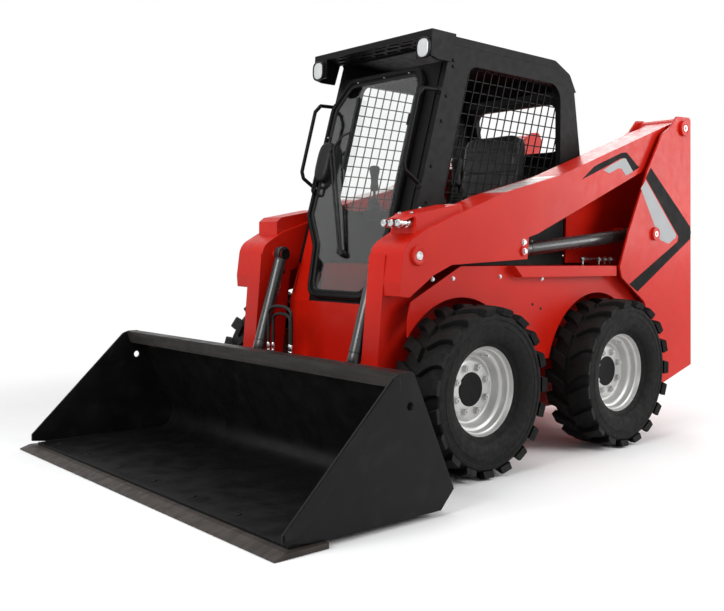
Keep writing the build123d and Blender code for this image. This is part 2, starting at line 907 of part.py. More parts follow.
def hitch_frame():
    frame = back_plate(64, 450, seat_gap, seat_gap + hitch_plate, hitch_half_width)
    frame -= back_plate(110, 400, -5, 40, 320)
    for low, high in ((434, 450), (64, 78)):
        frame += back_plate(low, high, 10, 62, hitch_half_width)
    hx, hz = hitch_pivot
    gx, gz = tilt_eye
    foot = [
        (*on_back(36, 8), 0),
        (hx + 12, hz - 46, 0),
        (hx - 26, hz - 40, 0),
        (hx - 46, hz - 6, 0),
        (hx - 36, hz + 30, 0),
    ]
    long_ear = foot + [
        (gx - 44, gz + 6, 0),
        (gx - 36, gz + 30, 0),
        (gx - 8, gz + 44, 0),
        (*on_back(330, 8), 0),
    ]
    short_ear = foot + [(hx - 4, hz + 48, 0), (*on_back(250, 8), 0)]
    # Columns: outline, inner face
    ears = (
        (long_ear, tilt_y - ear_gap / 2 - ear_plate),
        (long_ear, tilt_y + ear_gap / 2),
        (short_ear, leg_outer_y + foot_boss),
    )
    for outline, y_low in ears:
        ear = side_plate(outline, y_low, y_low + ear_plate)
        frame += ear + right_of(ear)
    pin = side_disc(hitch_pivot, hitch_pin_radius, tilt_y + ear_gap / 2 + 1, leg_outer_y + foot_boss + 1)
    outer_face = leg_outer_y + foot_boss + ear_plate
    pin += side_disc(hitch_pivot, 30, outer_face - 1, outer_face + 4)
    return frame + pin + right_of(pin)


def bucket_shell():
    low = edge_ground_gap + edge_thickness
    front_x = edge_tip_x - 50
    top_x, top_z = bucket_back_top
    # Floor and back are one bent plate: the corner lies where their outer faces would meet
    corner = on_back((low - bucket_heel[1]) / cos(back_angle), 0)
    bend = FilletPolyline((front_x - 30, low), corner, bucket_back_top, radius=heel_radius)
    inside = bucket_half_width - bucket_plate
    skin = make_face(offset(bend, amount=bucket_plate, side=Side.RIGHT, closed=True))
    shell = extrude(Plane.XZ.offset(-inside - 1) * skin, amount=2 * inside + 2)
    # Box lip along the top of the back
    lip = [
        (top_x, top_z, 0),
        (top_x + 72, top_z, 0),
        (top_x + 50, top_z - 62, 0),
        (*on_back(back_length - 62 / cos(back_angle), 0), 0),
    ]
    shell += side_plate(lip, -inside - 1, inside + 1)
    cheek = [
        (front_x, 42, 0),
        (front_x, 74, 0),
        (1150, 563, 30),
        (1118, 574, 0),
        (1064, 574, 0),
        (1052, 566, 0),
        (bucket_heel[0], bucket_heel[1], 0),
        (896, low + 2, 0),
        (1518, low + 2, 0),
    ]
    for side in (-1, 1):
        y_low = min(side * bucket_half_width, side * inside)
        shell += side_plate(cheek, y_low, y_low + bucket_plate)
    reach = bucket_half_width + bucket_plate
    return shell - side_bore((1071, 445), 16, -reach, reach)


def cutting_edge():
    low = edge_ground_gap
    top = low + edge_thickness
    outline = [
        (edge_tip_x - edge_depth, low, 0),
        (edge_tip_x, low, 0),
        (edge_tip_x, low + 4, 0),
        (edge_tip_x - 50, top, 0),
        (edge_tip_x - edge_depth, top, 0),
    ]
    return side_plate(outline, -edge_half_width, edge_half_width)


# Every piece by name --------------------------------------------------------------

pieces = {
    "main_frame": main_frame(),
    "fender_left": fender_left(),
    "tower_left": tower_left(),
    "engine_block": engine_block(),
    "cab_side_left": cab_side_left(),
    "side_screen_left": side_screen_left(),
    "cab_rear_wall": cab_rear_wall(),
    "cab_roof": cab_roof(),
    "cab_front_frame": cab_front_frame(),
    "cab_floor": cab_floor(),
    "seat_cushions": seat_cushions(),
    "control_levers": control_levers(),
    "lamps": lamps(),
    "door_frame": door_frame(),
    "door_glass": door_glass(),
    "engine_hood": engine_hood(),
    "rear_door": rear_door(),
    "arm_left": arm_left(),
    "arm_cross_tube": arm_cross_tube(),
    "quick_couplers": quick_couplers(),
    "aux_hoses": aux_hoses(),
    "lift_barrel_left": lift_barrel_left(),
    "lift_rod_left": lift_rod_left(),
    "tilt_barrel_left": tilt_barrel_left(),
    "tilt_rod_left": tilt_rod_left(),
    "hitch_frame": hitch_frame(),
    "bucket_shell": bucket_shell(),
    "cutting_edge": cutting_edge(),
}
for name in [name for name in pieces if name.endswith("_left")]:
    pieces[name.replace("_left", "_right")] = right_of(pieces[name])

one_tyre = tyre()
one_rim = rim()
for side_name, side in (("left", 1), ("right", -1)):
    for end_name, axle_x in (("front", front_axle_x), ("rear", rear_axle_x)):
        for kind, solid in (("tyre", one_tyre), ("rim", one_rim)):
            placed = Pos(axle_x, wheel_centre_y, axle_z) * solid
            pieces[f"{kind}_{end_name}_{side_name}"] = placed if side == 1 else right_of(placed)

os.makedirs("parts", exist_ok=True)
for name, piece in pieces.items():
    export_step(piece, f"parts/{name}.step")
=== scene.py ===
import json
import math
import bmesh
import bpy
import numpy as np
from mathutils import Matrix, Vector


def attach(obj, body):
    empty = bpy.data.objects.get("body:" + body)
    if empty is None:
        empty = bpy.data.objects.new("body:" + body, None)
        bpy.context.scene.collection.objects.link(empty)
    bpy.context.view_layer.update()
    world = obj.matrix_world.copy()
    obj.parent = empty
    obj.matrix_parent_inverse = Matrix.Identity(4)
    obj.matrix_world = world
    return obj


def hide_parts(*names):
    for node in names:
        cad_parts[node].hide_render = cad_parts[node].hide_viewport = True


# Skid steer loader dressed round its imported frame.
# Metres, +X forward, +Y the machine's left, +Z up, the ground is z = 0.

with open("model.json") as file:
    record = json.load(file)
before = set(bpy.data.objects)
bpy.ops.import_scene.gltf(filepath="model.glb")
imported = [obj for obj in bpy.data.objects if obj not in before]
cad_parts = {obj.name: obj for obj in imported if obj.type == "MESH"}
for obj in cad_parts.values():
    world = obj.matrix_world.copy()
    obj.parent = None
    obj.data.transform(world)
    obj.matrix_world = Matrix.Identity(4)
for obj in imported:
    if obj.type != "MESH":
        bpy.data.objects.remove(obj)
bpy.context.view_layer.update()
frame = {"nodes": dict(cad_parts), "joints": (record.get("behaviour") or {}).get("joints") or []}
nodes = frame["nodes"]
joints = {joint["name"]: joint for joint in frame["joints"]}
sides = {"left": 1, "right": -1}
print("frame loaded:", len(nodes), "CAD nodes")


def jointPlace(name):
    # Where a joint's axis passes, in metres
    return np.array(joints[name]["pos_m"])


def hexColour(code):
    # sRGB hex turned to linear RGBA
    channels = np.array([int(code[i:i + 2], 16) for i in (1, 3, 5)]) / 255
    linear = np.where(channels <= 0.04045, channels / 12.92, ((channels + 0.055) / 1.055) ** 2.4)
    return (*linear.tolist(), 1.0)


def addNode(tree, kind, values=None, links=None):
    # One node: values are sockets (by name or number) or properties, links are {socket: (node, output)}
    node = tree.nodes.new(kind)
    for key, value in (values or {}).items():
        if isinstance(key, int) or key in node.inputs:
            node.inputs[key].default_value = value
        else:
            setattr(node, key, value)
    for socket, (source, output) in (links or {}).items():
        tree.links.new(source.outputs[output], node.inputs[socket])
    return node


def startMaterial(name, **shaderValues):
    # A material with its shader, output and object coordinates ready
    material = bpy.data.materials.new(name)
    material.use_nodes = True
    tree = material.node_tree
    tree.nodes.clear()
    values = {key.replace("_", " "): value for key, value in shaderValues.items()}
    shader = addNode(tree, "ShaderNodeBsdfPrincipled", values)
    addNode(tree, "ShaderNodeOutputMaterial", links={"Surface": (shader, 0)})
    place = addNode(tree, "ShaderNodeTexCoord")
    return material, tree, shader, place


def mottle(tree, place, shader, scale, low, high, spread=(0.35, 0.65), detail=4.0):
    # Base colour drifts between two close tones; scale is patches per metre
    grain = {"Scale": scale, "Detail": detail}
    noise = addNode(tree, "ShaderNodeTexNoise", grain, {"Vector": (place, "Object")})
    ramp = addNode(tree, "ShaderNodeValToRGB", links={"Fac": (noise, 0)})
    ramp.color_ramp.elements[0].position, ramp.color_ramp.elements[1].position = spread
    ramp.color_ramp.elements[0].color = hexColour(low)
    ramp.color_ramp.elements[1].color = hexColour(high)
    tree.links.new(ramp.outputs[0], shader.inputs["Base Color"])
    return ramp


def roughen(tree, place, shader, scale, low, high):
    # Roughness drifts between two values
    noise = addNode(tree, "ShaderNodeTexNoise", {"Scale": scale, "Detail": 3.0}, {"Vector": (place, "Object")})
    spread = addNode(
        tree, "ShaderNodeMapRange", {"From Min": 0.35, "From Max": 0.65, "To Min": low, "To Max": high},
        {"Value": (noise, 0)},
    )
    tree.links.new(spread.outputs[0], shader.inputs["Roughness"])


def relief(tree, place, shader, kind, values, strength, distance, edge=0.0):
    # A fine texture as bump; where edge is set, folded edges look rounded by that radius
    texture = addNode(tree, kind, values, {"Vector": (place, "Object")})
    bumpFrom(tree, shader, texture, strength, distance, edge)


def bumpFrom(tree, shader, texture, strength, distance, edge=0.0):
    # A texture's output as the surface's bump, over edges softened by that radius
    links = {"Height": (texture, 0)}
    if edge:
        links["Normal"] = (addNode(tree, "ShaderNodeBevel", {"Radius": edge, "samples": 4}), 0)
    bump = addNode(tree, "ShaderNodeBump", {"Strength": strength, "Distance": distance}, links)
    tree.links.new(bump.outputs[0], shader.inputs["Normal"])


def streak(tree, place, shader, stretch, noise, stops, low, high):
    # Base colour in streaks: noise of (scale, detail) squeezed by the stretch of each axis, between two tones
    turn = addNode(tree, "ShaderNodeMapping", {"Scale": stretch}, {"Vector": (place, "Object")})
    marks = addNode(tree, "ShaderNodeTexNoise", {"Scale": noise[0], "Detail": noise[1]}, {"Vector": (turn, 0)})
    ramp = addNode(tree, "ShaderNodeValToRGB", links={"Fac": (marks, 0)})
    for element, stop, tone in zip(ramp.color_ramp.elements, stops, (low, high)):
        element.position, element.color = stop, hexColour(tone)
    tree.links.new(ramp.outputs[0], shader.inputs["Base Color"])
    return marks


def paintedSteel(name, low, high, roughness, coat, shine=0.35, peel=0.004, edge=0.0025):
    # Sprayed enamel on folded plate: even colour, a thin clear gloss, slight orange peel, soft folded edges
    material, tree, shader, place = startMaterial(
        name, Coat_Weight=coat, Coat_Roughness=0.14, Specular_IOR_Level=shine
    )
    mottle(tree, place, shader, 3.0, low, high)
    roughen(tree, place, shader, 25.0, roughness - 0.05, roughness + 0.06)
    # Real peel is about 1 mm across; it is drawn 4 mm across so that it shows
    relief(tree, place, shader, "ShaderNodeTexNoise", {"Scale": 1 / peel, "Detail": 2.0}, 0.10, 0.0004, edge)
    return material


def makeRedEnamel():
    # Signal red machine enamel, sprayed and baked: bright and glossy
    return paintedSteel("redEnamel", "#B41405", "#BE1A08", 0.38, 0.08, 0.18)


def makeBlackPowderCoat():
    # Black polyester powder coat, baked: satin with a fine texture
    return paintedSteel("blackPowderCoat", "#080808", "#0C0C0D", 0.48, 0.0, 0.12, peel=0.003)


def makeBucketPaint():
    # Black enamel on rolled plate, with long faint scuffs where earth has slid along it
    material, tree, shader, place = startMaterial("bucketPaint", Specular_IOR_Level=0.15)
    scuffs = streak(tree, place, shader, (3.0, 45.0, 3.0), (4.0, 6.0), (0.52, 0.80), "#0B0B0B", "#1C1A19")
    roughen(tree, place, shader, 9.0, 0.36, 0.52)
    bumpFrom(tree, shader, scuffs, 0.15, 0.0006, 0.004)
    return material


def makeWornSteel():
    # Hardened edge plate, mill scale worn to bare brown-grey steel in streaks along the digging direction
    material, tree, shader, place = startMaterial("wornEdgeSteel", Metallic=0.45, Specular_IOR_Level=0.3)
    wear = streak(tree, place, shader, (1.5, 14.0, 4.0), (3.0, 8.0), (0.30, 0.72), "#2A2624", "#463F3B")
    roughen(tree, place, shader, 30.0, 0.42, 0.62)
    bumpFrom(tree, shader, wear, 0.3, 0.0006)
    return material


def makeLipPaintedHighlight():
    # Front face of the rolled lip in warm dark grey, lighter than the black bucket: a painted highlight for the
    # light that falls on that face, streaked along its length
    material, tree, shader, place = startMaterial("lipPaintedHighlight", Metallic=0.25, Specular_IOR_Level=0.4)
    streak(tree, place, shader, (8.0, 1.2, 20.0), (3.0, 5.0), (0.30, 0.75), "#262423", "#3C3835")
    roughen(tree, place, shader, 30.0, 0.38, 0.55)
    return material


def makeWheelSilver():
    # Pressed wheel disc, sprayed silver: fine metal flake under a satin clear coat
    material, tree, shader, place = startMaterial(
        "wheelSilver", Metallic=0.35, Coat_Weight=0.2, Coat_Roughness=0.25
    )
    mottle(tree, place, shader, 6.0, "#B4B4B2", "#C4C4C2")
    roughen(tree, place, shader, 60.0, 0.34, 0.44)
    relief(tree, place, shader, "ShaderNodeTexNoise", {"Scale": 500.0, "Detail": 2.0}, 0.08, 0.0003)
    return material


def makeTyreRubber():
    # Moulded carbon black rubber: matt, faintly grey where the mould left it dusty
    material, tree, shader, place = startMaterial("tyreRubber", Specular_IOR_Level=0.16)
    mottle(tree, place, shader, 14.0, "#0A0A0A", "#111110", (0.3, 0.75), 6.0)
    roughen(tree, place, shader, 40.0, 0.62, 0.80)
    relief(tree, place, shader, "ShaderNodeTexNoise", {"Scale": 380.0, "Detail": 3.0}, 0.2, 0.0005)
    return material


def plainMetal(name, low, high, roughness, scale=40.0, metallic=1.0):
    # Bare or plated metal with a slight drift in tone and in polish
    material, tree, shader, place = startMaterial(name, Metallic=metallic)
    mottle(tree, place, shader, scale, low, high)
    roughen(tree, place, shader, scale, roughness * 0.8, roughness * 1.25)
    return material


def makeChrome():
    # Hard chrome on ground bar: near mirror
    return plainMetal("hardChrome", "#D6D8DA", "#E4E6E8", 0.10, 20.0)


def makeZinc():
    # Bright zinc plate on bolts, crimps and couplers: pale grey, a little cloudy
    return plainMetal("zincPlate", "#B9BBBC", "#D4D6D7", 0.28, 90.0)


def makeCastIron():
    # Cast engine block, painted dark grey over a sand-cast skin
    material, tree, shader, place = startMaterial("castIron", Metallic=0.2)
    mottle(tree, place, shader, 20.0, "#26272A", "#333437")
    roughen(tree, place, shader, 50.0, 0.6, 0.8)
    relief(tree, place, shader, "ShaderNodeTexNoise", {"Scale": 300.0, "Detail": 4.0}, 0.4, 0.001)
    return material


def makeGlass():
    # Tempered door glass: clear, with the faint green-grey of float glass and a trace of wipe haze
    material, tree, shader, place = startMaterial(
        "doorGlass", Transmission_Weight=1.0, IOR=1.45, Specular_IOR_Level=0.25, Base_Color=hexColour("#F6F8F7")
    )
    haze = addNode(tree, "ShaderNodeTexNoise", {"Scale": 7.0, "Detail": 3.0}, {"Vector": (place, "Object")})
    spread = addNode(
        tree, "ShaderNodeMapRange", {"From Min": 0.4, "From Max": 0.8, "To Min": 0.0, "To Max": 0.02},
        {"Value": (haze, 0)},
    )
    tree.links.new(spread.outputs[0], shader.inputs["Roughness"])
    return material


def makeSeatVinyl():
    # Embossed black seat vinyl: leather grain about 2 mm across
    material, tree, shader, place = startMaterial("seatVinyl", Sheen_Weight=0.1)
    mottle(tree, place, shader, 12.0, "#101011", "#171718")
    roughen(tree, place, shader, 60.0, 0.45, 0.58)
    relief(tree, place, shader, "ShaderNodeTexVoronoi", {"Scale": 450.0}, 0.35, 0.0005)
    return material


def makeBlackPlastic():
    # Moulded ABS, spark-eroded texture about 0.5 mm, drawn 2 mm so that it shows
    material, tree, shader, place = startMaterial("blackPlastic", Specular_IOR_Level=0.25)
    mottle(tree, place, shader, 10.0, "#0C0C0D", "#121213")
    roughen(tree, place, shader, 45.0, 0.45, 0.6)
    relief(tree, place, shader, "ShaderNodeTexNoise", {"Scale": 500.0, "Detail": 2.0}, 0.2, 0.0004)
    return material


def makeLampLens():
    # Moulded polycarbonate lens over a bright reflector: white, glossy, with prism cells about 8 mm apart
    material, tree, shader, place = startMaterial(
        "lampLens", Roughness=0.12, Coat_Weight=0.6, Coat_Roughness=0.03
    )
    mottle(tree, place, shader, 8.0, "#B4B6B7", "#C6C8C8")
    relief(tree, place, shader, "ShaderNodeTexVoronoi", {"Scale": 120.0, "Randomness": 0.0}, 0.5, 0.0015)
    return material


def makeHoseRubber():
    # Wrapped rubber hose cover: dull black with a fine cloth imprint
    material, tree, shader, place = startMaterial("hoseRubber", Roughness=0.6, Specular_IOR_Level=0.3)
    mottle(tree, place, shader, 30.0, "#0D0D0D", "#141414")
    relief(tree, place, shader, "ShaderNodeTexWave", {"Scale": 120.0, "Distortion": 1.0}, 0.2, 0.0004)
    return material


def makeGripPad():
    # Pressed aluminium tread pad: pale and bright on raised points about 6 mm apart
    material, tree, shader, place = startMaterial("pressedTreadPad", Metallic=0.6)
    mottle(tree, place, shader, 60.0, "#B9B6B4", "#D8D6D4")
    roughen(tree, place, shader, 80.0, 0.30, 0.45)
    relief(tree, place, shader, "ShaderNodeTexVoronoi", {"Scale": 165.0, "Randomness": 0.0}, 0.6, 0.001)
    return material


def vinylFilm(name, low, high):
    # Cast vinyl stripe laid on the paint: flat colour, soft gloss
    material, tree, shader, place = startMaterial(name, Specular_IOR_Level=0.06)
    mottle(tree, place, shader, 5.0, low, high)
    roughen(tree, place, shader, 20.0, 0.42, 0.52)
    return material


finishes = {
    "red": makeRedEnamel(),
    "black": makeBlackPowderCoat(),
    "bucket": makeBucketPaint(),
    "barrel": paintedSteel("barrelEnamel", "#1F1F20", "#282829", 0.30, 0.25, 0.45),
    "edge": makeWornSteel(),
    "lipHighlight": makeLipPaintedHighlight(),
    "silver": makeWheelSilver(),
    "rubber": makeTyreRubber(),
    "chrome": makeChrome(),
    "zinc": makeZinc(),
    "iron": makeCastIron(),
    "glass": makeGlass(),
    "vinyl": makeSeatVinyl(),
    "plastic": makeBlackPlastic(),
    "lens": makeLampLens(),
    "hose": makeHoseRubber(),
    "grip": makeGripPad(),
    "blackStripe": vinylFilm("blackStripeVinyl", "#020202", "#040404"),
    "greyStripe": vinylFilm("greyStripeVinyl", "#9B9D9E", "#A6A8A9"),
}
print("materials made:", len(finishes))

# Which finish each CAD node takes, by the start of its name
nodeFinish = {
    "main_frame": "red", "fender": "red", "tower": "red", "engine_block": "iron", "cab_side": "black",
    "side_screen": "black", "cab_rear_wall": "black", "cab_roof": "black", "cab_front_frame": "black",
    "cab_floor": "black", "seat_cushions": "vinyl", "control_levers": "plastic", "lamps": "lens",
    "door_frame": "black", "door_glass": "glass", "engine_hood": "red", "rear_door": "red", "arm_left": "red",
    "arm_right": "red", "arm_cross_tube": "red", "quick_couplers": "zinc", "aux_hoses": "hose",
    "lift_barrel": "black", "tilt_barrel": "black", "lift_rod": "chrome", "tilt_rod": "chrome",
    "hitch_frame": "black", "bucket_shell": "bucket", "cutting_edge": "edge", "tyre": "rubber", "rim": "silver",
}
for nodeName, node in nodes.items():
    start = max((key for key in nodeFinish if nodeName.startswith(key)), key=len)
    node.data.materials.clear()
    node.data.materials.append(finishes[nodeFinish[start]])


def placeObject(name, data):
    # A new object at the origin, in the scene
    placed = bpy.data.objects.new(name, data)
    bpy.context.scene.collection.objects.link(placed)
    return placed


def meshPiece(name, points, faces, sharpAngle=35.0):
    # A mesh object at the origin: doubles merged, normals turned outwards, smooth but for its sharp edges
    mesh = bpy.data.meshes.new(name)
    mesh.from_pydata(np.asarray(points).reshape(-1, 3).tolist(), [], [list(map(int, face)) for face in faces])
    work = bmesh.new()
    work.from_mesh(mesh)
    bmesh.ops.remove_doubles(work, verts=work.verts, dist=1e-6)
    bmesh.ops.recalc_face_normals(work, faces=work.faces)
    work.to_mesh(mesh)
    work.free()
    mesh.shade_smooth()
    mesh.set_sharp_from_angle(angle=math.radians(sharpAngle))
    return placeObject(name, mesh)


def gridFaces(rows, columns, wrap=True):
    # Quads between neighbouring rows of a grid of points; the columns close on themselves if wrap is set
    row = np.arange(rows - 1)[:, None]
    column = np.arange(columns if wrap else columns - 1)[None, :]
    after = (column + 1) % columns
    near, far = row * columns, (row + 1) * columns
    corners = (near + column, near + after, far + after, far + column)
    return np.stack(np.broadcast_arrays(*corners), axis=-1).reshape(-1, 4)


def cappedFaces(rows, columns):
    # A tube of faces over a grid of points, its first and last rows closed as caps
    faces = [list(face) for face in gridFaces(rows, columns)]
    return faces + [list(range(columns)), list(range((rows - 1) * columns, rows * columns))]


def crossAxes(axis):
    # Two unit vectors square to an axis and to each other
    axis = np.asarray(axis, float) / np.linalg.norm(axis)
    other = np.array([0.0, 0.0, 1.0]) if abs(axis[2]) < 0.9 else np.array([1.0, 0.0, 0.0])
    side = np.cross(other, axis)
    side /= np.linalg.norm(side)
    return axis, side, np.cross(axis, side)


def turnedPoints(profile, centre, axis, steps):
    # Each (radius, along) row turned once round the axis: centre + along*axis + radius*(cos t*side + sin t*up)
    axis, side, up = crossAxes(axis)
    radius, along = np.asarray(profile, float).T
    turn = np.linspace(0, 2 * math.pi, steps, endpoint=False)
    ring = np.cos(turn)[:, None] * side + np.sin(turn)[:, None] * up
    return np.asarray(centre) + along[:, None, None] * axis + radius[:, None, None] * ring


def joinPoints(groups):
    # Several (points, faces) sets as one
    points, faces, start = [], [], 0
    for groupPoints, groupFaces in groups:
        flat = np.asarray(groupPoints).reshape(-1, 3)
        points.append(flat)
        faces += [[int(corner) + start for corner in face] for face in groupFaces]
        start += len(flat)
    return np.concatenate(points), faces


def turnedPart(profile, centre, axis, steps=48):
    # A closed turned body whose profile starts and ends on the axis
    return turnedPoints(profile, centre, axis, steps), gridFaces(len(profile), steps)


def hexPart(centre, axis, width, height):
    # Hexagon head with a chamfered top on a round washer, width across flats
    corner = width / math.sqrt(3)
    head = [(0, 0), (corner, 0), (corner, 0.75 * height), (0.86 * corner, height), (0, height)]
    washer = [(0, -0.0005), (1.15 * corner, -0.0005), (1.15 * corner, 0.12 * height), (0, 0.12 * height)]
    return joinPoints([turnedPart(head, centre, axis, 6), turnedPart(washer, centre, axis, 18)])


def roundedPath(corners, radius, closed=False, steps=6):
    # Straight runs between corners, each corner rounded by an arc of that radius
    corners = [np.asarray(corner, float) for corner in corners]
    count = len(corners)
    path = []
    for i, corner in enumerate(corners):
        if not closed and i in (0, count - 1):
            path.append(corner)
            continue
        back = corners[i - 1] - corner
        ahead = corners[(i + 1) % count] - corner
        backLength, aheadLength = np.linalg.norm(back), np.linalg.norm(ahead)
        back, ahead = back / backLength, ahead / aheadLength
        half = math.acos(np.clip(back @ ahead, -1, 1)) / 2
        reach = min(radius / math.tan(half), 0.48 * backLength, 0.48 * aheadLength)
        arcRadius = reach * math.tan(half)
        middle = (back + ahead) / np.linalg.norm(back + ahead)
        centre = corner + middle * arcRadius / math.sin(half)
        first, last = corner + back * reach - centre, corner + ahead * reach - centre
        sweep = math.pi - 2 * half
        for t in np.linspace(0, 1, steps + 1):
            mix = (math.sin((1 - t) * sweep) * first + math.sin(t * sweep) * last) / max(math.sin(sweep), 1e-9)
            path.append(centre + mix)
    return np.array(path)


def tubePart(path, radius, closed=False, sides=12):
    # A circle of that radius carried along a path, its frame turned as little as possible from point to point
    path = np.asarray(path, float)
    if closed:
        tangents = np.roll(path, -1, 0) - np.roll(path, 1, 0)
    else:
        tangents = np.gradient(path, axis=0)
    tangents /= np.linalg.norm(tangents, axis=1)[:, None]
    side = crossAxes(tangents[0])[1]
    frames = []
    for tangent in tangents:
        side = side - (side @ tangent) * tangent
        side = side / np.linalg.norm(side)
        frames.append((side, np.cross(tangent, side)))
    frames = np.array(frames)
    turn = np.linspace(0, 2 * math.pi, sides, endpoint=False)
    ring = np.cos(turn)[None, :, None] * frames[:, 0, None] + np.sin(turn)[None, :, None] * frames[:, 1, None]
    points = path[:, None] + radius * ring
    if closed:
        return np.concatenate([points, points[:1]]), gridFaces(len(path) + 1, sides)
    return points, cappedFaces(len(path), sides)


def plateParts(outline, near, far, lift):
    # A flat outline of (u, v) rows made solid between two levels; lift(u, v, level) places each point
    outline = np.asarray(outline, float)
    count = len(outline)
    levels = [lift(outline[:, 0], outline[:, 1], np.full(count, level)) for level in (near, far)]
    return np.stack(levels), cappedFaces(2, count)


def onSide(side):
    # Places (x, z) rows on a plane across the machine: the level is the distance out to that side
    return lambda x, z, level: np.stack([x, side * level, z], axis=-1)


def addPiece(name, parts, body, finish, replaces=(), sharpAngle=35.0):
    # Joins the parts into one piece, gives it its finish and lets it ride on its body
    points, faces = joinPoints(parts)
    piece = meshPiece(name, points, faces, sharpAngle)
    return dressPiece(piece, body, finish, replaces)


def dressPiece(piece, body, finish, replaces=()):
    # Finish and body of one piece, and the CAD nodes it stands for
    piece.data.materials.clear()
    piece.data.materials.append(finishes[finish])
    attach(piece, body)
    if replaces:
        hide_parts(*replaces)
    return piece


# Tyres: a turned carcass with raised sidewall rings, and two rows of slanted bars
tyreLook = {
    "wallRows": [
        (0.2125, 0.0755), (0.219, 0.0795), (0.226, 0.085), (0.229, 0.0905), (0.233, 0.0935), (0.243, 0.101),
        (0.258, 0.1085), (0.280, 0.1140), (0.300, 0.1160), (0.3015, 0.1176), (0.3045, 0.1176), (0.306, 0.1163),
        (0.326, 0.1155), (0.3275, 0.1180), (0.3315, 0.1190), (0.346, 0.1165), (0.352, 0.1115), (0.3545, 0.1040),
        (0.3605, 0.0880), (0.3640, 0.0550), (0.3655, 0.0200),
    ],
    "bars": 19, "barWidth": 0.057, "sweep": 0.058, "innerEnd": 0.010, "outerEnd": 0.1318,
    "topRadius": 0.3897, "rootRadius": 0.352, "roundSteps": 96,
}


def tyreBars(centre, side, look):
    # One row of bars. Down a bar, t from 0 to 1 runs from the middle out to the wall, and its angle about the
    # axle is start + sweep * (0.45 - (1 - t)**1.7) / topRadius. Across it, u runs up one flank, over the flat
    # top and down the other.
    t = np.linspace(0, 1, 9)
    along = look["innerEnd"] + (look["outerEnd"] - look["innerEnd"]) * t
    width = look["barWidth"] * (1 + 0.10 * np.cos(2 * math.pi * t))
    across = np.array([-0.62, -0.52, -0.46, 0.46, 0.52, 0.62])
    top = look["topRadius"] - 0.006 * t**3
    height = np.array([0, 0.90, 1, 1, 0.90, 0])
    radius = look["rootRadius"] + (top[:, None] - look["rootRadius"]) * height
    radius[-1] -= 0.004 * height
    step = 2 * math.pi / look["bars"]
    starts = step * (np.arange(look["bars"]) + (0.25 if side > 0 else 0.75))
    lead = look["sweep"] * (0.45 - (1 - t) ** 1.7) / look["topRadius"]
    angle = starts[:, None, None] + lead[None, :, None] + (width[:, None] * across)[None] / look["topRadius"]
    points = np.stack(np.broadcast_arrays(
        centre[0] + radius * np.cos(angle), centre[1] + side * along[:, None],
        centre[2] + radius * np.sin(angle),
    ), axis=-1)
    # The outer end leans in under its top edge
    points[:, -1, :, 1] -= side * 0.010 * (1 - height)
    rows, columns = len(t), len(across)
    sheet = gridFaces(rows, columns, wrap=False)
    ends = [[0] + list(range(columns - 1, 0, -1)), [(rows - 1) * columns + i for i in range(columns)]]
    one = [list(face) for face in sheet] + ends
    return [(points[i], one) for i in range(look["bars"])]


def wheelAxis(name):
    # A wheel's centre, and its axle pointing away from the machine
    return jointPlace(name + "_spin"), np.array([0.0, 1.0 if name.endswith("left") else -1.0, 0.0])


wheelNames = [place + "_" + side for place in ("front", "rear") for side in sides]
for name in wheelNames:
    centre, out = wheelAxis("wheel_" + name)
    rows = tyreLook["wallRows"]
    inside = [(0.205, 0.070)]
    profile = inside + rows + [(0.3657, 0.0)] + [(r, -y) for r, y in rows[::-1]] + [(r, -y) for r, y in inside]
    profile.append(inside[0])
    carcass = turnedPart(profile, centre, out, tyreLook["roundSteps"])
    bars = tyreBars(centre, 1, tyreLook) + tyreBars(centre, -1, tyreLook)
    addPiece("tyreWithBars_" + name, [carcass] + bars, "wheel_" + name, "rubber", ["tyre_" + name], 28)
print("tyres made")

# Wheels: pressed deep-dish disc welded in a rolled rim, eight nuts, a valve and a black centre cap
rimLook = {
    "profile": [
        (0.079, -0.016), (0.126, -0.016), (0.131, -0.0175), (0.142, -0.027), (0.150, -0.030), (0.158, -0.027),
        (0.165, -0.012), (0.169, 0.004), (0.1725, 0.010), (0.178, 0.013), (0.1855, 0.016), (0.1885, 0.022),
        (0.1900, 0.036), (0.1915, 0.042), (0.1985, 0.046), (0.2015, 0.051), (0.2030, 0.064), (0.2060, 0.0695),
        (0.2120, 0.0735), (0.2190, 0.0752), (0.2222, 0.0735), (0.2225, 0.0712), (0.2200, 0.0700),
        (0.2110, 0.0690),
        (0.2060, 0.0640), (0.2060, -0.0640), (0.2110, -0.0690), (0.2215, -0.0710), (0.2215, -0.0750),
        (0.2100, -0.0755), (0.2010, -0.0700), (0.1980, -0.0500), (0.1900, -0.0360), (0.1200, -0.0330),
        (0.0800, -0.0330), (0.0800, -0.0595), (0.0, -0.0595),
    ],
    "nuts": 8, "nutCircle": 0.107, "nutWidth": 0.029, "nutHeight": 0.019, "face": -0.016, "valveCircle": 0.166,
    "steps": 96,
}
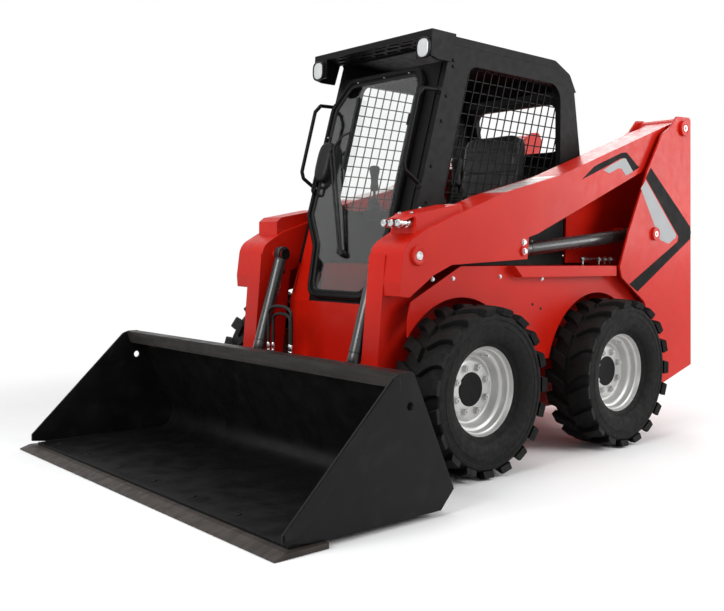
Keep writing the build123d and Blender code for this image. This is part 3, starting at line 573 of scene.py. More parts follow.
for name in wheelNames:
    centre, out = wheelAxis("wheel_" + name)
    axis, aside, up = crossAxes(out)
    disc = turnedPart([(0, -0.020)] + [(0.079, -0.020)] + rimLook["profile"], centre, out, rimLook["steps"])
    addPiece("wheelDisc_" + name, [disc], "wheel_" + name, "silver", ["rim_" + name], 40)
    turns = 2 * math.pi * (np.arange(rimLook["nuts"]) + 0.5) / rimLook["nuts"]
    ring = np.cos(turns)[:, None] * aside + np.sin(turns)[:, None] * up
    spots = centre + rimLook["nutCircle"] * ring + rimLook["face"] * axis
    nuts = []
    for spot in spots:
        nuts.append(hexPart(spot, out, rimLook["nutWidth"], rimLook["nutHeight"]))
        tall = rimLook["nutHeight"]
        stud = [(0, 0), (0.0068, 0), (0.0068, tall + 0.004), (0.0050, tall + 0.006),
                (0, rimLook["nutHeight"] + 0.006)]
        nuts.append(turnedPart(stud, spot, out, 12))
    valveFoot = centre + rimLook["valveCircle"] * (0.35 * aside + 0.937 * up) + 0.002 * axis
    stem = [(0, -0.006), (0.0085, -0.006), (0.0085, 0.004), (0.0045, 0.006), (0.0040, 0.026), (0.0052, 0.027),
            (0.0052, 0.038), (0, 0.039)]
    nuts.append(turnedPart(stem, valveFoot, out, 16))
    addPiece("wheelNuts_" + name, nuts, "wheel_" + name, "silver", (), 30)
    cap = [(0, -0.019), (0.0785, -0.019), (0.0785, -0.0135), (0.0770, -0.0120), (0.0500, -0.0112), (0, -0.0110)]
    addPiece("hubCap_" + name, [turnedPart(cap, centre, out, 48)], "wheel_" + name, "black", (), 30)
print("wheels made")

# Rams: barrel with gland and ports, chrome rod, eyes at both ends
ramLook = {
    "lift": {"barrel": 0.036, "rod": 0.022, "eye": 0.0380, "eyeWidth": 0.056, "show": 0.044, "start": 0.080,
             "rodEye": 0.0340, "pinReach": 0.060, "pin": 0.018},
    "tilt": {"barrel": 0.032, "rod": 0.020, "eye": 0.0380, "eyeWidth": 0.044, "show": 0.125, "start": 0.180,
             "rodEye": 0.0340, "pinReach": 0.024, "pin": 0.018},
}


def chamferedDisc(radius, flat, half, chamfer=0.002):
    # Profile of a disc or pin from -half to half whose rims slope from the flat's radius to the full one
    rim = half - chamfer
    return [(0, -half), (flat, -half), (radius, -rim), (radius, rim), (flat, half), (0, half)]


for kind, look in ramLook.items():
    for side in sides:
        base = jointPlace(f"{kind}_barrel_{side}_swing")
        eye = jointPlace(f"{kind}_rod_{side}_slide")
        along = (eye - base) / np.linalg.norm(eye - base)
        span = np.linalg.norm(eye - base)
        across = np.array([0.0, 1.0, 0.0])
        over = np.cross(along, across)
        end = span - look["eye"] - look["show"]
        wall, half = look["barrel"], look["eyeWidth"] / 2
        tube = [
            (0, 0.020), (0.86 * wall, 0.026), (0.97 * wall, 0.034), (wall, 0.040), (wall, end - 0.062),
            (0.94 * wall, end - 0.060), (0.94 * wall, end - 0.057), (0.985 * wall, end - 0.055),
            (wall, end - 0.050), (wall, end - 0.004), (0.93 * wall, end), (look["rod"] + 0.004, end),
            (look["rod"] + 0.0012, end - 0.002), (0, end - 0.002),
        ]
        ring = chamferedDisc(look["eye"] - 0.0002, 0.94 * look["eye"], half)
        parts = [turnedPart(tube, base, along, 40), turnedPart(ring, base, across, 40)]
        lift = 1 if kind == "lift" else -1
        for spot in (0.085, end - 0.085):
            # Port block and the union that a steel line screws into
            foot = base + along * spot + over * lift * (wall - 0.008)
            block = [(0, 0), (0.0150, 0), (0.0150, 0.014), (0.0135, 0.016), (0, 0.016)]
            parts.append(turnedPart(block, foot, over * lift, 20))
        barrel = f"{kind}_barrel_{side}"
        addPiece(f"{kind}Barrel_{side}", parts, barrel, "barrel", [barrel], 30)
        start = look["start"]
        bar = [(0, start), (look["rod"] - 0.001, start), (look["rod"] - 0.001, start + 0.02),
               (look["rod"] - 0.0003, start + 0.021), (look["rod"] - 0.0003, span - 0.040), (0, span - 0.040)]
        addPiece(f"{kind}Rod_{side}", [turnedPart(bar, base, along, 40)], f"{kind}_rod_{side}", "chrome",
                 [f"{kind}_rod_{side}"], 30)
        eyeRing = chamferedDisc(look["rodEye"], 0.94 * look["rodEye"], half)
        neck = [(0, -0.044), (look["rod"] + 0.002, -0.044), (look["rod"] + 0.006, -0.038),
                (0.92 * look["rodEye"], -0.008), (0, -0.008)]
        pin = chamferedDisc(look["pin"], look["pin"] - 0.001, look["pinReach"], 0.001)
        eyeParts = [turnedPart(eyeRing, eye, across, 40), turnedPart(neck, eye, along, 32),
                    turnedPart(pin, eye, across, 24)]
        addPiece(f"{kind}RodEye_{side}", eyeParts, f"{kind}_rod_{side}", "black", (), 30)
print("rams made")

# Round caps and pins over the pivots
capTable = [
    # name, body, finish, x, z, inner level, outer level, radius, lip
    ("armPivotCap", "chassis", "red", -1.521, 1.749, 0.655, 0.6763, 0.0450, 0.004),
    ("armPivotPin", "chassis", "zinc", -1.521, 1.749, 0.660, 0.6770, 0.0200, 0.002),
    ("liftBaseCap", "chassis", "red", -1.246, 1.132, 0.655, 0.6742, 0.0372, 0.004),
    ("liftBasePin", "chassis", "zinc", -1.246, 1.132, 0.660, 0.6750, 0.0170, 0.002),
    ("kneeCap", "arm", "red", 0.606, 0.998, 0.620, 0.6385, 0.0435, 0.004),
    ("kneePin", "arm", "zinc", 0.606, 0.998, 0.630, 0.6400, 0.0210, 0.003),
    ("tiltPinCap", "arm", "black", 0.606, 0.998, -0.3400, -0.3330, 0.0262, 0.0015),
    ("liftEyeCap", "arm", "red", -0.119, 1.024, 0.620, 0.6343, 0.0250, 0.002),
]
for name, body, finish, x, z, inner, outer, radius, lip in capTable:
    for side, sign in sides.items():
        tall = outer - inner
        disc = [(0, 0), (radius, 0), (radius, tall - lip), (radius - lip, tall), (0.55 * radius, tall),
                (0.50 * radius, tall - 0.0012), (0, tall - 0.0012)]
        cap = turnedPart(disc, (x, sign * inner, z), (0, sign, 0), 40)
        addPiece(f"{name}_{side}", [cap], body, finish, (), 30)
print("pivot caps made")

# Cab front plane: across is +Y, up runs up the leaning frame, ahead is out of its face
frontFoot = np.array([0.531, 0.0, 0.760])
frontOut = np.array([1.0, 0.0, 0.28]) / math.hypot(1, 0.28)
frontUp = np.array([-0.28, 0.0, 1.0]) / math.hypot(1, 0.28)


def onFront(across, up, ahead):
    # foot + across*Y + up*frontUp + ahead*frontOut
    across, up, ahead = np.broadcast_arrays(*[np.asarray(v, float)[..., None] for v in (across, up, ahead)])
    return frontFoot + across * np.array([0, 1.0, 0]) + up * frontUp + ahead * frontOut


doorLook = {
    "outline": [
        (-0.225, 0.014), (0.225, 0.014), (0.300, 0.380), (0.300, 1.123), (0.250, 1.193), (-0.264, 1.193),
        (-0.372, 1.043), (-0.372, 0.440), (-0.265, 0.280),
    ],
    "bend": 0.060, "tube": 0.0105, "tubeIn": 0.0125, "tubeAhead": 0.0275, "seal": 0.0055, "sealIn": 0.0385,
    "sealAhead": 0.0235,
}


def drawnIn(outline, inset):
    # Each corner moved in along its two edges' normals, by the inset
    rows = np.asarray(outline, float)
    ahead = np.roll(rows, -1, 0) - rows
    ahead /= np.linalg.norm(ahead, axis=1)[:, None]
    normal = np.stack([-ahead[:, 1], ahead[:, 0]], axis=1)
    back = np.roll(normal, 1, 0)
    return rows + (normal + back) * inset / (1 + (normal * back).sum(1))[:, None]


def doorPath(inset, ahead):
    # The door's outline moved in by the inset, its corners rounded, laid on the front plane
    rows = drawnIn(doorLook["outline"], inset)
    return roundedPath(list(onFront(rows[:, 0], rows[:, 1], np.full(len(rows), ahead))), doorLook["bend"], True)


doorRun = doorPath(doorLook["tubeIn"], doorLook["tubeAhead"])
addPiece("doorTube", [tubePart(doorRun, doorLook["tube"], True, 14)], "cab_door", "black", (), 50)
sealRun = doorPath(doorLook["sealIn"], doorLook["sealAhead"])
addPiece("doorSeal", [tubePart(sealRun, doorLook["seal"], True, 10)], "cab_door", "hose", (), 50)

wiperLook = {
    "motorAcross": -0.305, "motorUp": 0.735, "motorWide": 0.105, "motorHigh": 0.215, "motorDeep": 0.052,
    "foot": (-0.020, 0.240), "tops": [(-0.235, 0.800), (-0.262, 0.790)],
    "blade": [(-0.146, 0.690), (-0.141, 0.860), (-0.145, 1.075)],
}


def wiperHousing(look):
    # Rounded box: the outline |a|^3.2 + |u|^3.2 = 1, shrunk by s while the depth grows to its full value
    turn = np.linspace(0, 2 * math.pi, 48, endpoint=False)
    shape = (np.abs(np.cos(turn)) ** 3.2 + np.abs(np.sin(turn)) ** 3.2) ** (-1 / 3.2)
    across, up = shape * np.cos(turn), shape * np.sin(turn)
    s = np.array([1.0, 1.0, 0.97, 0.90, 0.78, 0.60, 0.40, 0.20, 0.001])
    deep = np.array([0.0, 0.60, 0.76, 0.88, 0.95, 0.98, 1.0, 1.0, 1.0])
    points = onFront(
        look["motorAcross"] + 0.5 * look["motorWide"] * s[:, None] * across,
        look["motorUp"] + 0.5 * look["motorHigh"] * s[:, None] * up, 0.018 + look["motorDeep"] * deep[:, None],
    )
    return points, cappedFaces(len(s), len(turn))


def barPart(points, wide, deep):
    # A flat bar along points on the front plane (across, up, ahead), wide in the plane and deep out of it
    rows = np.asarray(points, float)
    run = np.gradient(rows[:, :2], axis=0)
    run /= np.linalg.norm(run, axis=1)[:, None]
    normal = np.stack([-run[:, 1], run[:, 0]], axis=1) * wide / 2
    corners = [(1, 0), (1, 1), (-1, 1), (-1, 0)]
    grid = np.stack([
        onFront(rows[:, 0] + s * normal[:, 0], rows[:, 1] + s * normal[:, 1], rows[:, 2] + d * deep)
        for s, d in corners
    ], axis=1)
    return grid, cappedFaces(len(rows), len(corners))


foot = wiperLook["foot"]
wiperParts = [wiperHousing(wiperLook)]
for i, (topAcross, topUp) in enumerate(wiperLook["tops"]):
    start = (foot[0] + 0.022 * (0.5 - i), foot[1] + 0.012 * i)
    line = [(start[0] + (topAcross - start[0]) * t, start[1] + (topUp - start[1]) * t, 0.040 + 0.018 * t)
            for t in (0, 0.3, 0.6, 1)]
    wiperParts.append(barPart(line, 0.011, 0.006))
    wiperParts.append(turnedPart([(0, 0), (0.016, 0), (0.016, 0.022), (0.012, 0.028), (0, 0.028)],
                                 onFront(start[0], start[1], 0.022), frontOut, 20))
    wiperParts.append(turnedPart([(0, 0), (0.011, 0), (0.011, 0.012), (0.008, 0.015), (0, 0.015)],
                                 onFront(topAcross, topUp, 0.052), frontOut, 16))
blade = [(a, u, 0.026) for a, u in wiperLook["blade"]]
wiperParts.append(barPart(blade, 0.007, 0.018))
wiperParts.append(barPart([(a, u, 0.042) for a, u in wiperLook["blade"]], 0.014, 0.008))
reach = [(*wiperLook["tops"][0], 0.062), (-0.190, 0.86, 0.058), (-0.144, 0.88, 0.050)]
wiperParts.append(barPart(reach, 0.012, 0.006))
addPiece("wiper", wiperParts, "cab_door", "plastic", (), 35)

# Hinge leaves on the near edge, a pull handle on the other, bolts with bright heads
hingeLook = {"ups": [0.180, 0.920], "inner": 0.245, "outer": 0.300, "ahead": 0.0265, "wide": 0.056,
             "deep": 0.005}
hingeParts = []
for up in hingeLook["ups"]:
    leaf = [(across, up, hingeLook["ahead"]) for across in (hingeLook["inner"], hingeLook["outer"])]
    hingeParts.append(barPart(leaf, hingeLook["wide"], hingeLook["deep"]))
addPiece("doorHingeLeaves", hingeParts, "cab_door", "black", (), 35)
pullLook = {"across": -0.338, "low": 0.565, "high": 0.700, "foot": 0.024, "reach": 0.060, "bend": 0.016,
            "radius": 0.007}
handle = [onFront(pullLook["across"], up, ahead) for up, ahead in (
    (pullLook["low"], pullLook["foot"]), (pullLook["low"], pullLook["reach"]),
    (pullLook["high"], pullLook["reach"]), (pullLook["high"], pullLook["foot"]))]
pull = tubePart(roundedPath(handle, pullLook["bend"]), pullLook["radius"], False, 12)
addPiece("doorHandle", [pull], "cab_door", "black", (), 50)
doorBolts = {
    "ahead": 0.0262, "flats": 0.013, "height": 0.0055,
    "places": [(0.282, 0.470), (0.282, 0.900), (0.282, 0.940), (0.282, 0.160), (0.282, 0.200),
               (-0.355, 0.600), (-0.355, 0.880), (0.000, 1.176), (0.180, 1.176), (-0.200, 1.176)],
}
doorHeads = [hexPart(onFront(a, u, doorBolts["ahead"]), frontOut, doorBolts["flats"], doorBolts["height"])
             for a, u in doorBolts["places"]]
addPiece("doorBolts", doorHeads, "cab_door", "zinc", (), 30)

# Red corner plates beside the door's narrow foot
cornerLook = {"rows": [(0.3660, -0.002), (0.2330, -0.002), (0.2710, 0.2760), (0.3660, 0.4240)],
              "near": 0.0001, "far": 0.0024}
corners = []
for sign in sides.values():
    rows = np.array(cornerLook["rows"]) * (sign, 1)
    corners.append(plateParts(rows, cornerLook["near"], cornerLook["far"], onFront))
addPiece("footCornerPlates", corners, "chassis", "red", (), 20)
print("door dressed")

# Lamps: black housing ring and a domed lens
lampLook = {
    "places": [0.390, -0.390], "height": 1.966, "face": 0.3505,
    "bezel": (0.086, 0.098, 3.0), "bezelRows": [
        (0.001, -0.004), (0.90, -0.004), (1, 0.0), (1, 0.010), (0.96, 0.0128), (0.90, 0.0128), (0.86, 0.008),
        (0.001, 0.006)],
    "lens": (0.072, 0.084, 2.6), "lensRows": [
        (0.001, 0.004), (1, 0.004), (1, 0.009), (0.9, 0.0108), (0.6, 0.0118), (0.001, 0.0122)],
}


def roundedOval(centre, wide, high, power, rows):
    # Superellipse of that width and height facing +X, carried through rows of (scale, distance ahead)
    turn = np.linspace(0, 2 * math.pi, 48, endpoint=False)
    shape = (np.abs(np.cos(turn)) ** power + np.abs(np.sin(turn)) ** power) ** (-1 / power)
    scale, ahead = np.asarray(rows, float).T
    y = centre[1] + wide / 2 * scale[:, None] * shape * np.cos(turn)
    z = centre[2] + high / 2 * scale[:, None] * shape * np.sin(turn)
    x = centre[0] + np.broadcast_to(ahead[:, None], y.shape)
    return np.stack([x, y, z], axis=-1), gridFaces(len(rows), 48)


lensParts, bezelParts = [], []
for y in lampLook["places"]:
    centre = (lampLook["face"], y, lampLook["height"])
    bezelParts.append(roundedOval(centre, *lampLook["bezel"], lampLook["bezelRows"]))
    lensParts.append(roundedOval(centre, *lampLook["lens"], lampLook["lensRows"]))
addPiece("lampBezels", bezelParts, "chassis", "plastic", (), 40)
addPiece("lampLenses", lensParts, "chassis", "lens", ["lamps"], 40)
print("lamps made")

# Seat: a pressed vinyl cushion and back, swollen by air pressure in the cloth solver, then grooved at the seams
seatLook = {
    "cushion": {"centre": (-0.395, 0.0, 1.1155), "size": (0.436, 0.436, 0.092), "lean": 0.0},
    "back": {"centre": (-0.607, 0.0, 1.4320), "size": (0.088, 0.424, 0.500), "lean": 0.095},
    "squareness": 7, "drawnIn": 0.03, "pressure": 4.0, "voxel": 0.006, "frames": 20, "cap": 0.007,
    "grooveDepth": 0.006, "grooveWidth": 0.006,
}


def paddedBlock(name, look):
    # Rounded block: a cube grid pushed out to |x|^n + |y|^n + |z|^n = 1, its faces drawn in at their middles
    work = bmesh.new()
    bmesh.ops.create_cube(work, size=2.0)
    bmesh.ops.subdivide_edges(work, edges=work.edges, cuts=11, use_grid_fill=True)
    mesh = bpy.data.meshes.new(name)
    work.to_mesh(mesh)
    work.free()
    unit = np.empty(len(mesh.vertices) * 3)
    mesh.vertices.foreach_get("co", unit)
    unit = unit.reshape(-1, 3)
    power = seatLook["squareness"]
    unit /= (np.abs(unit) ** power).sum(1, keepdims=True) ** (1 / power)
    middle = np.cos(unit[:, [1, 0, 0]] * math.pi / 2) * np.cos(unit[:, [2, 2, 1]] * math.pi / 2)
    pull = 1 - seatLook["drawnIn"] * middle
    points = unit * pull * np.array(look["size"]) / 2
    turn = look["lean"]
    x, z = points[:, 0].copy(), points[:, 2].copy()
    # The back leans: its top goes rearward
    points[:, 0] = x * math.cos(turn) - z * math.sin(turn)
    points[:, 2] = x * math.sin(turn) + z * math.cos(turn)
    points += look["centre"]
    mesh.vertices.foreach_set("co", points.ravel())
    mesh.shade_smooth()
    return placeObject(name, mesh)


def swell(piece, look):
    # Remeshed, blown up by the cloth solver for some frames, and no point moved further than the cap
    remesh = piece.modifiers.new("remesh", "REMESH")
    remesh.mode, remesh.voxel_size = "VOXEL", look["voxel"]
    bpy.context.view_layer.update()
    start = bpy.data.meshes.new_from_object(piece.evaluated_get(bpy.context.evaluated_depsgraph_get()))
    piece.modifiers.remove(remesh)
    piece.data = start
    cloth = piece.modifiers.new("cloth", "CLOTH")
    cloth.settings.use_pressure = True
    cloth.settings.uniform_pressure_force = look["pressure"]
    cloth.settings.effector_weights.gravity = 0
    cloth.settings.quality = 4
    scene = bpy.context.scene
    for step in range(1, look["frames"] + 1):
        scene.frame_set(step)
    blown = bpy.data.meshes.new_from_object(piece.evaluated_get(bpy.context.evaluated_depsgraph_get()))
    before = np.empty(len(start.vertices) * 3)
    after = np.empty(len(blown.vertices) * 3)
    start.vertices.foreach_get("co", before)
    blown.vertices.foreach_get("co", after)
    move = (after - before).reshape(-1, 3)
    length = np.linalg.norm(move, axis=1, keepdims=True)
    move *= np.minimum(1, look["cap"] / np.maximum(length, 1e-9))
    piece.modifiers.remove(cloth)
    start.vertices.foreach_set("co", (before.reshape(-1, 3) + move).ravel())
    start.update()
    start.shade_smooth()
    scene.frame_set(1)


def sewnGrooves(piece, look, facing, rows):
    # Sewn channels: points near each seam line sink by depth * exp(-(distance / width)^2) along their normals
    count = len(piece.data.vertices)
    points = np.empty(count * 3)
    normals = np.empty(count * 3)
    piece.data.vertices.foreach_get("co", points)
    piece.data.vertices.foreach_get("normal", normals)
    points, normals = points.reshape(-1, 3), normals.reshape(-1, 3)
    local = points - np.array(look["centre"])
    front = np.clip(normals @ np.array(facing), 0, 1)
    for axis, place in rows:
        distance = local[:, axis] - place
        depth = seatLook["grooveDepth"] * np.exp(-(distance / seatLook["grooveWidth"]) ** 2) * front
        points -= normals * depth[:, None]
    piece.data.vertices.foreach_set("co", points.ravel())
    piece.data.update()


# Seams: which way each pad faces, then the axis a seam lies across and its place on it
seams = {
    "cushion": ((0, 0, 1), [(1, -0.125), (1, 0.125), (0, -0.09), (0, 0.06)]),
    "back": ((1, 0, 0), [(1, -0.120), (1, 0.120), (2, -0.11), (2, 0.03), (2, 0.155)]),
}
for name, (facing, rows) in seams.items():
    piece = paddedBlock("seat" + name.capitalize(), seatLook[name])
    swell(piece, seatLook)
    sewnGrooves(piece, seatLook[name], facing, rows)
    dressPiece(piece, "chassis", "vinyl", ["seat_cushions"])
print("seat made")

# Control levers: folded rubber boot, straight stick and a shaped hand grip with its thumb buttons
leverLook = {
    "foot": (0.020, 0.305, 1.2405),
    "boot": [(0, 0), (0.046, 0), (0.046, 0.005), (0.039, 0.011), (0.042, 0.018), (0.034, 0.026), (0.036, 0.033),
             (0.028, 0.042), (0.030, 0.049), (0.021, 0.058), (0.022, 0.064), (0.0120, 0.072), (0, 0.072)],
    "grip": [(0, 0.105), (0.0160, 0.106), (0.0225, 0.113), (0.0235, 0.130), (0.0195, 0.152), (0.0205, 0.172),
             (0.0225, 0.190), (0.0275, 0.210), (0.0290, 0.226), (0.0265, 0.238), (0.0180, 0.2440), (0, 0.2445)],
}
leverParts, bootParts = [], []
for side, sign in sides.items():
    foot = np.array(leverLook["foot"]) * (1, sign, 1)
    bootParts.append(turnedPart(leverLook["boot"], foot, (0, 0, 1), 36))
    leverParts.append(turnedPart([(0, 0.03), (0.0075, 0.03), (0.0075, 0.145), (0, 0.145)], foot, (0, 0, 1), 20))
    leverParts.append(turnedPart(leverLook["grip"], foot, (0, 0, 1), 28))
    for aside in (-0.008, 0.008):
        button = [(0, 0), (0.0042, 0), (0.0042, 0.0035), (0.0034, 0.0045), (0, 0.0045)]
        leverParts.append(turnedPart(button, foot + (0.0270, aside, 0.222), (0.9, 0, 0.43), 14))
addPiece("leverBoots", bootParts, "chassis", "hose", ["control_levers"], 40)
addPiece("leverGrips", leverParts, "chassis", "plastic", ["control_levers"], 35)
print("levers made")

# Auxiliary hoses between the arms: each is held at both ends by a steel crimp and a hexagon foot
hoseLook = {
    "radius": 0.0080, "low": 0.548, "footLow": 0.4803,
    "rows": [  # x, outer y, inner y, top z
        (0.730, -0.308, -0.118, 0.738),
        (0.718, -0.284, -0.144, 0.700),
    ],
}
crimps = []
for i, (x, outerY, innerY, top) in enumerate(hoseLook["rows"]):
    shoulder = top - 0.5 * (top - hoseLook["low"])
    points = [(x, outerY, hoseLook["low"]), (x, outerY, shoulder), (x, outerY, top), (x, innerY, top),
              (x, innerY, shoulder), (x, innerY, hoseLook["low"])]
    line = bpy.data.curves.new(f"auxHose_{i}", "CURVE")
    line.dimensions = "3D"
    spline = line.splines.new("NURBS")
    spline.points.add(len(points) - 1)
    spline.points.foreach_set("co", np.array([(*point, 1.0) for point in points]).ravel())
    spline.order_u = 3
    spline.use_endpoint_u = True
    line.resolution_u = 16
    line.bevel_depth, line.bevel_resolution = hoseLook["radius"], 3
    line.use_fill_caps = True
    dressPiece(placeObject(line.name, line), "arm", "hose", ["aux_hoses"])
    for y in (outerY, innerY):
        foot = (x, y, hoseLook["footLow"])
        crimps.append(hexPart(foot, (0, 0, 1), 0.0222, 0.018))
        ferrule = [(0, 0.016), (0.0060, 0.016), (0.0060, 0.030), (0.0085, 0.031), (0.0088, 0.036),
                   (0.0078, 0.038), (0.0088, 0.040), (0.0088, 0.070), (0.0070, 0.0735), (0, 0.0735)]
        crimps.append(turnedPart(ferrule, foot, (0, 0, 1), 20))
addPiece("hoseCrimps", crimps, "arm", "zinc", ["aux_hoses"], 30)

# Quick couplers on the left arm: three turned bodies side by side with raised collars
couplerLook = {
    "x": 0.5905, "z": 1.1400, "ys": [0.465, 0.511, 0.557],
    "body": [(0, 0), (0.0150, 0), (0.0150, 0.008), (0.0190, 0.010), (0.0190, 0.024), (0.0145, 0.026),
             (0.0145, 0.033), (0.0178, 0.035), (0.0190, 0.037), (0.0190, 0.056), (0.0178, 0.058),
             (0.0162, 0.059), (0.0162, 0.0735), (0.0148, 0.0755), (0.0098, 0.0760), (0.0090, 0.0730),
             (0, 0.0730)],
}
couplers = [turnedPart(couplerLook["body"], (couplerLook["x"], y, couplerLook["z"]), (1, 0, 0), 28)
            for y in couplerLook["ys"]]
addPiece("quickCouplers", couplers, "arm", "zinc", ["quick_couplers"], 30)
print("hydraulics made")


def flatStripe(name, rows, level, body, finish, thick=0.0004):
    # Film of that outline on a side plane, mirrored on the other side
    parts = [plateParts(rows, level, level + thick, onSide(sign)) for sign in sides.values()]
    return addPiece(name, parts, body, finish)


flatStripe("towerChevron", [
    (-1.186, 1.501), (-1.635, 1.184), (-1.648, 1.150), (-1.640, 1.110), (-1.088, 0.808), (-1.002, 0.851),
    (-1.498, 1.092), (-1.506, 1.122), (-1.138, 1.438),
], 0.6601, "chassis", "blackStripe")
flatStripe("towerChevronGrey", [
    (-1.139, 1.427), (-1.477, 1.136), (-1.478, 1.116), (-1.400, 1.079), (-1.306, 1.099), (-1.091, 1.380),
], 0.6601, "chassis", "greyStripe")
flatStripe("armSwoosh", [
    (-0.584, 1.399), (-0.692, 1.474), (-0.729, 1.489), (-0.945, 1.566), (-0.994, 1.572), (-1.122, 1.499),
    (-1.065, 1.474), (-0.971, 1.534), (-0.939, 1.536), (-0.776, 1.471),
], 0.6261, "arm", "blackStripe")
flatStripe("armSwooshGrey", [
    (-0.776, 1.460), (-0.845, 1.493), (-0.963, 1.538), (-0.987, 1.538), (-1.062, 1.472), (-0.992, 1.445),
    (-0.949, 1.481), (-0.917, 1.480), (-0.832, 1.448),
], 0.6265, "arm", "greyStripe")

# Anti-slip pads along each arm's top plate: x where a pad starts and how long it is
gripLook = {
    "starts": [-0.3900, -0.3085, -0.2270, -0.1455, -0.0640], "long": 0.0690, "inner": 0.4700, "outer": 0.6080,
    "topLine": ((-0.398, 1.409), (0.066, 1.290)), "thick": 0.0012,
}
pads = []
(lowX, lowZ), (highX, highZ) = gripLook["topLine"]
slope = (highZ - lowZ) / (highX - lowX)
for start in gripLook["starts"]:
    for sign in sides.values():
        rows = np.array([(start, gripLook["inner"]), (start + gripLook["long"], gripLook["inner"]),
                         (start + gripLook["long"], gripLook["outer"]), (start, gripLook["outer"])])
        pads.append(plateParts(rows, 0.0001, gripLook["thick"], lambda x, y, level: np.stack(
            [x, sign * y, lowZ + slope * (x - lowX) + level], axis=-1)))
addPiece("armGripPads", pads, "arm", "grip", (), 20)
print("stripes made")

# Bolt heads: body, finish, level out from the middle, across flats, height, then x and z of each
boltTable = [
    ("fenderBolts", "chassis", "zinc", 0.6001, 0.016, 0.007, [
        (0.022, 0.901), (-0.302, 0.887), (0.486, 0.894), (0.352, 0.895)]),
    ("fenderClips", "chassis", "plastic", 0.6001, 0.012, 0.003, [
        (-0.233, 0.760), (-0.299, 0.737), (-0.205, 0.661), (-1.250, 0.778)]),
    ("cabSideBolts", "chassis", "black", 0.4001, 0.014, 0.006, [
        (0.160, 1.935), (0.160, 1.905), (0.300, 1.420), (0.235, 1.640), (0.330, 1.250), (0.205, 1.760),
        (0.420, 1.010), (0.395, 1.120)]),
    ("cabMountBolts", "chassis", "zinc", 0.4001, 0.018, 0.008, [(0.372, 1.215), (0.412, 1.065)]),
    ("armStopBolts", "arm", "zinc", 0.6261, 0.024, 0.010, [(-0.120, 1.068)]),
    ("liftEyeBolts", "arm", "zinc", 0.6340, 0.024, 0.010, [(-0.119, 1.024)]),
]
for name, body, finish, level, flats, height, spots in boltTable:
    bolts = [hexPart((x, sign * level, z), (0, sign, 0), flats, height)
             for x, z in spots for sign in sides.values()]
    addPiece(name, bolts, body, finish, (), 30)


def weldBead(start, end, radius, face, pitch=0.007):
    # Stack of weld ripples: a half-round ridge from start to end whose radius is r*(1 + 0.16*cos(2*pi*s/pitch))
    start, end = np.array(start, float), np.array(end, float)
    length = np.linalg.norm(end - start)
    steps = max(4, int(length / pitch * 4))
    s = np.linspace(0, 1, steps)
    along = (end - start) / length
    face = np.array(face, float) / np.linalg.norm(face)
    side = np.cross(along, face)
    turn = np.linspace(0, 2 * math.pi, 8, endpoint=False)
    ring = np.cos(turn)[:, None] * side + 0.7 * np.sin(turn)[:, None] * face
    ends = np.minimum(1, 8 * np.minimum(s, 1 - s) + 0.4)
    size = radius * (1 + 0.16 * np.cos(2 * math.pi * s * length / pitch)) * ends
    points = start + (end - start) * s[:, None, None] + size[:, None, None] * ring
    return points, cappedFaces(steps, len(turn))


# Rubber strip that closes the gap between the rear wall's top edge and the roof
headerLook = {"inner": -0.7680, "outer": -0.8010, "low": 1.8780, "high": 1.9140, "half": 0.3655}
headerOutline = [(headerLook["inner"], headerLook["low"]), (headerLook["inner"], headerLook["high"]),
                 (headerLook["outer"], headerLook["high"]), (headerLook["outer"], headerLook["low"])]
headerStrip = plateParts(headerOutline, -headerLook["half"], headerLook["half"], onSide(1))
addPiece("rearHeaderSeal", [headerStrip], "chassis", "hose", (), 30)

# Steel line and unions on the ledge beside each lift ram
ledgeLook = {"y": 0.4700, "z": 0.9850, "from": -0.8150, "to": -1.1400, "radius": 0.0075,
             "unions": [-0.8350, -0.9900, -1.0450, -1.1000]}
unionStem = [(0, -0.028), (0.006, -0.028), (0.006, 0.010), (0, 0.010)]
ledgeParts = []
for sign in sides.values():
    y, z = sign * ledgeLook["y"], ledgeLook["z"]
    ends = [(ledgeLook["from"], y, z), (ledgeLook["to"], y, z)]
    ledgeParts.append(tubePart(ends, ledgeLook["radius"], False, 12))
    for x in ledgeLook["unions"]:
        ledgeParts.append(hexPart((x, y, z), (-1, 0, 0), 0.024, 0.020))
        ledgeParts.append(turnedPart(unionStem, (x, y, z), (0, 0, 1), 12))
addPiece("ledgeLines", ledgeParts, "chassis", "zinc", (), 30)
print("small fasteners made")

# Smooth round tube over the facetted grab handles on both front pillars
handleLook = {
    "rows": [(0.2232, 1.788), (0.3452, 1.784), (0.3812, 1.748), (0.4672, 1.428), (0.4572, 1.394),
             (0.3492, 1.326)],
    "y": 0.383, "bend": 0.012, "radius": 0.0098,
}
handles = []
for sign in sides.values():
    rows = [(x, sign * handleLook["y"], z) for x, z in handleLook["rows"]]
    handles.append(tubePart(roundedPath(rows, handleLook["bend"]), handleLook["radius"], False, 16))
    for x, z in (rows[0][::2], rows[-1][::2]):
        flange = [(0, -0.030), (0.020, -0.030), (0.020, -0.024), (0.0125, -0.020), (0, -0.020)]
        handles.append(turnedPart(flange, (x + 0.045, sign * handleLook["y"], z), (1, 0, 0.0), 20))
addPiece("grabHandles", handles, "chassis", "black", (), 50)

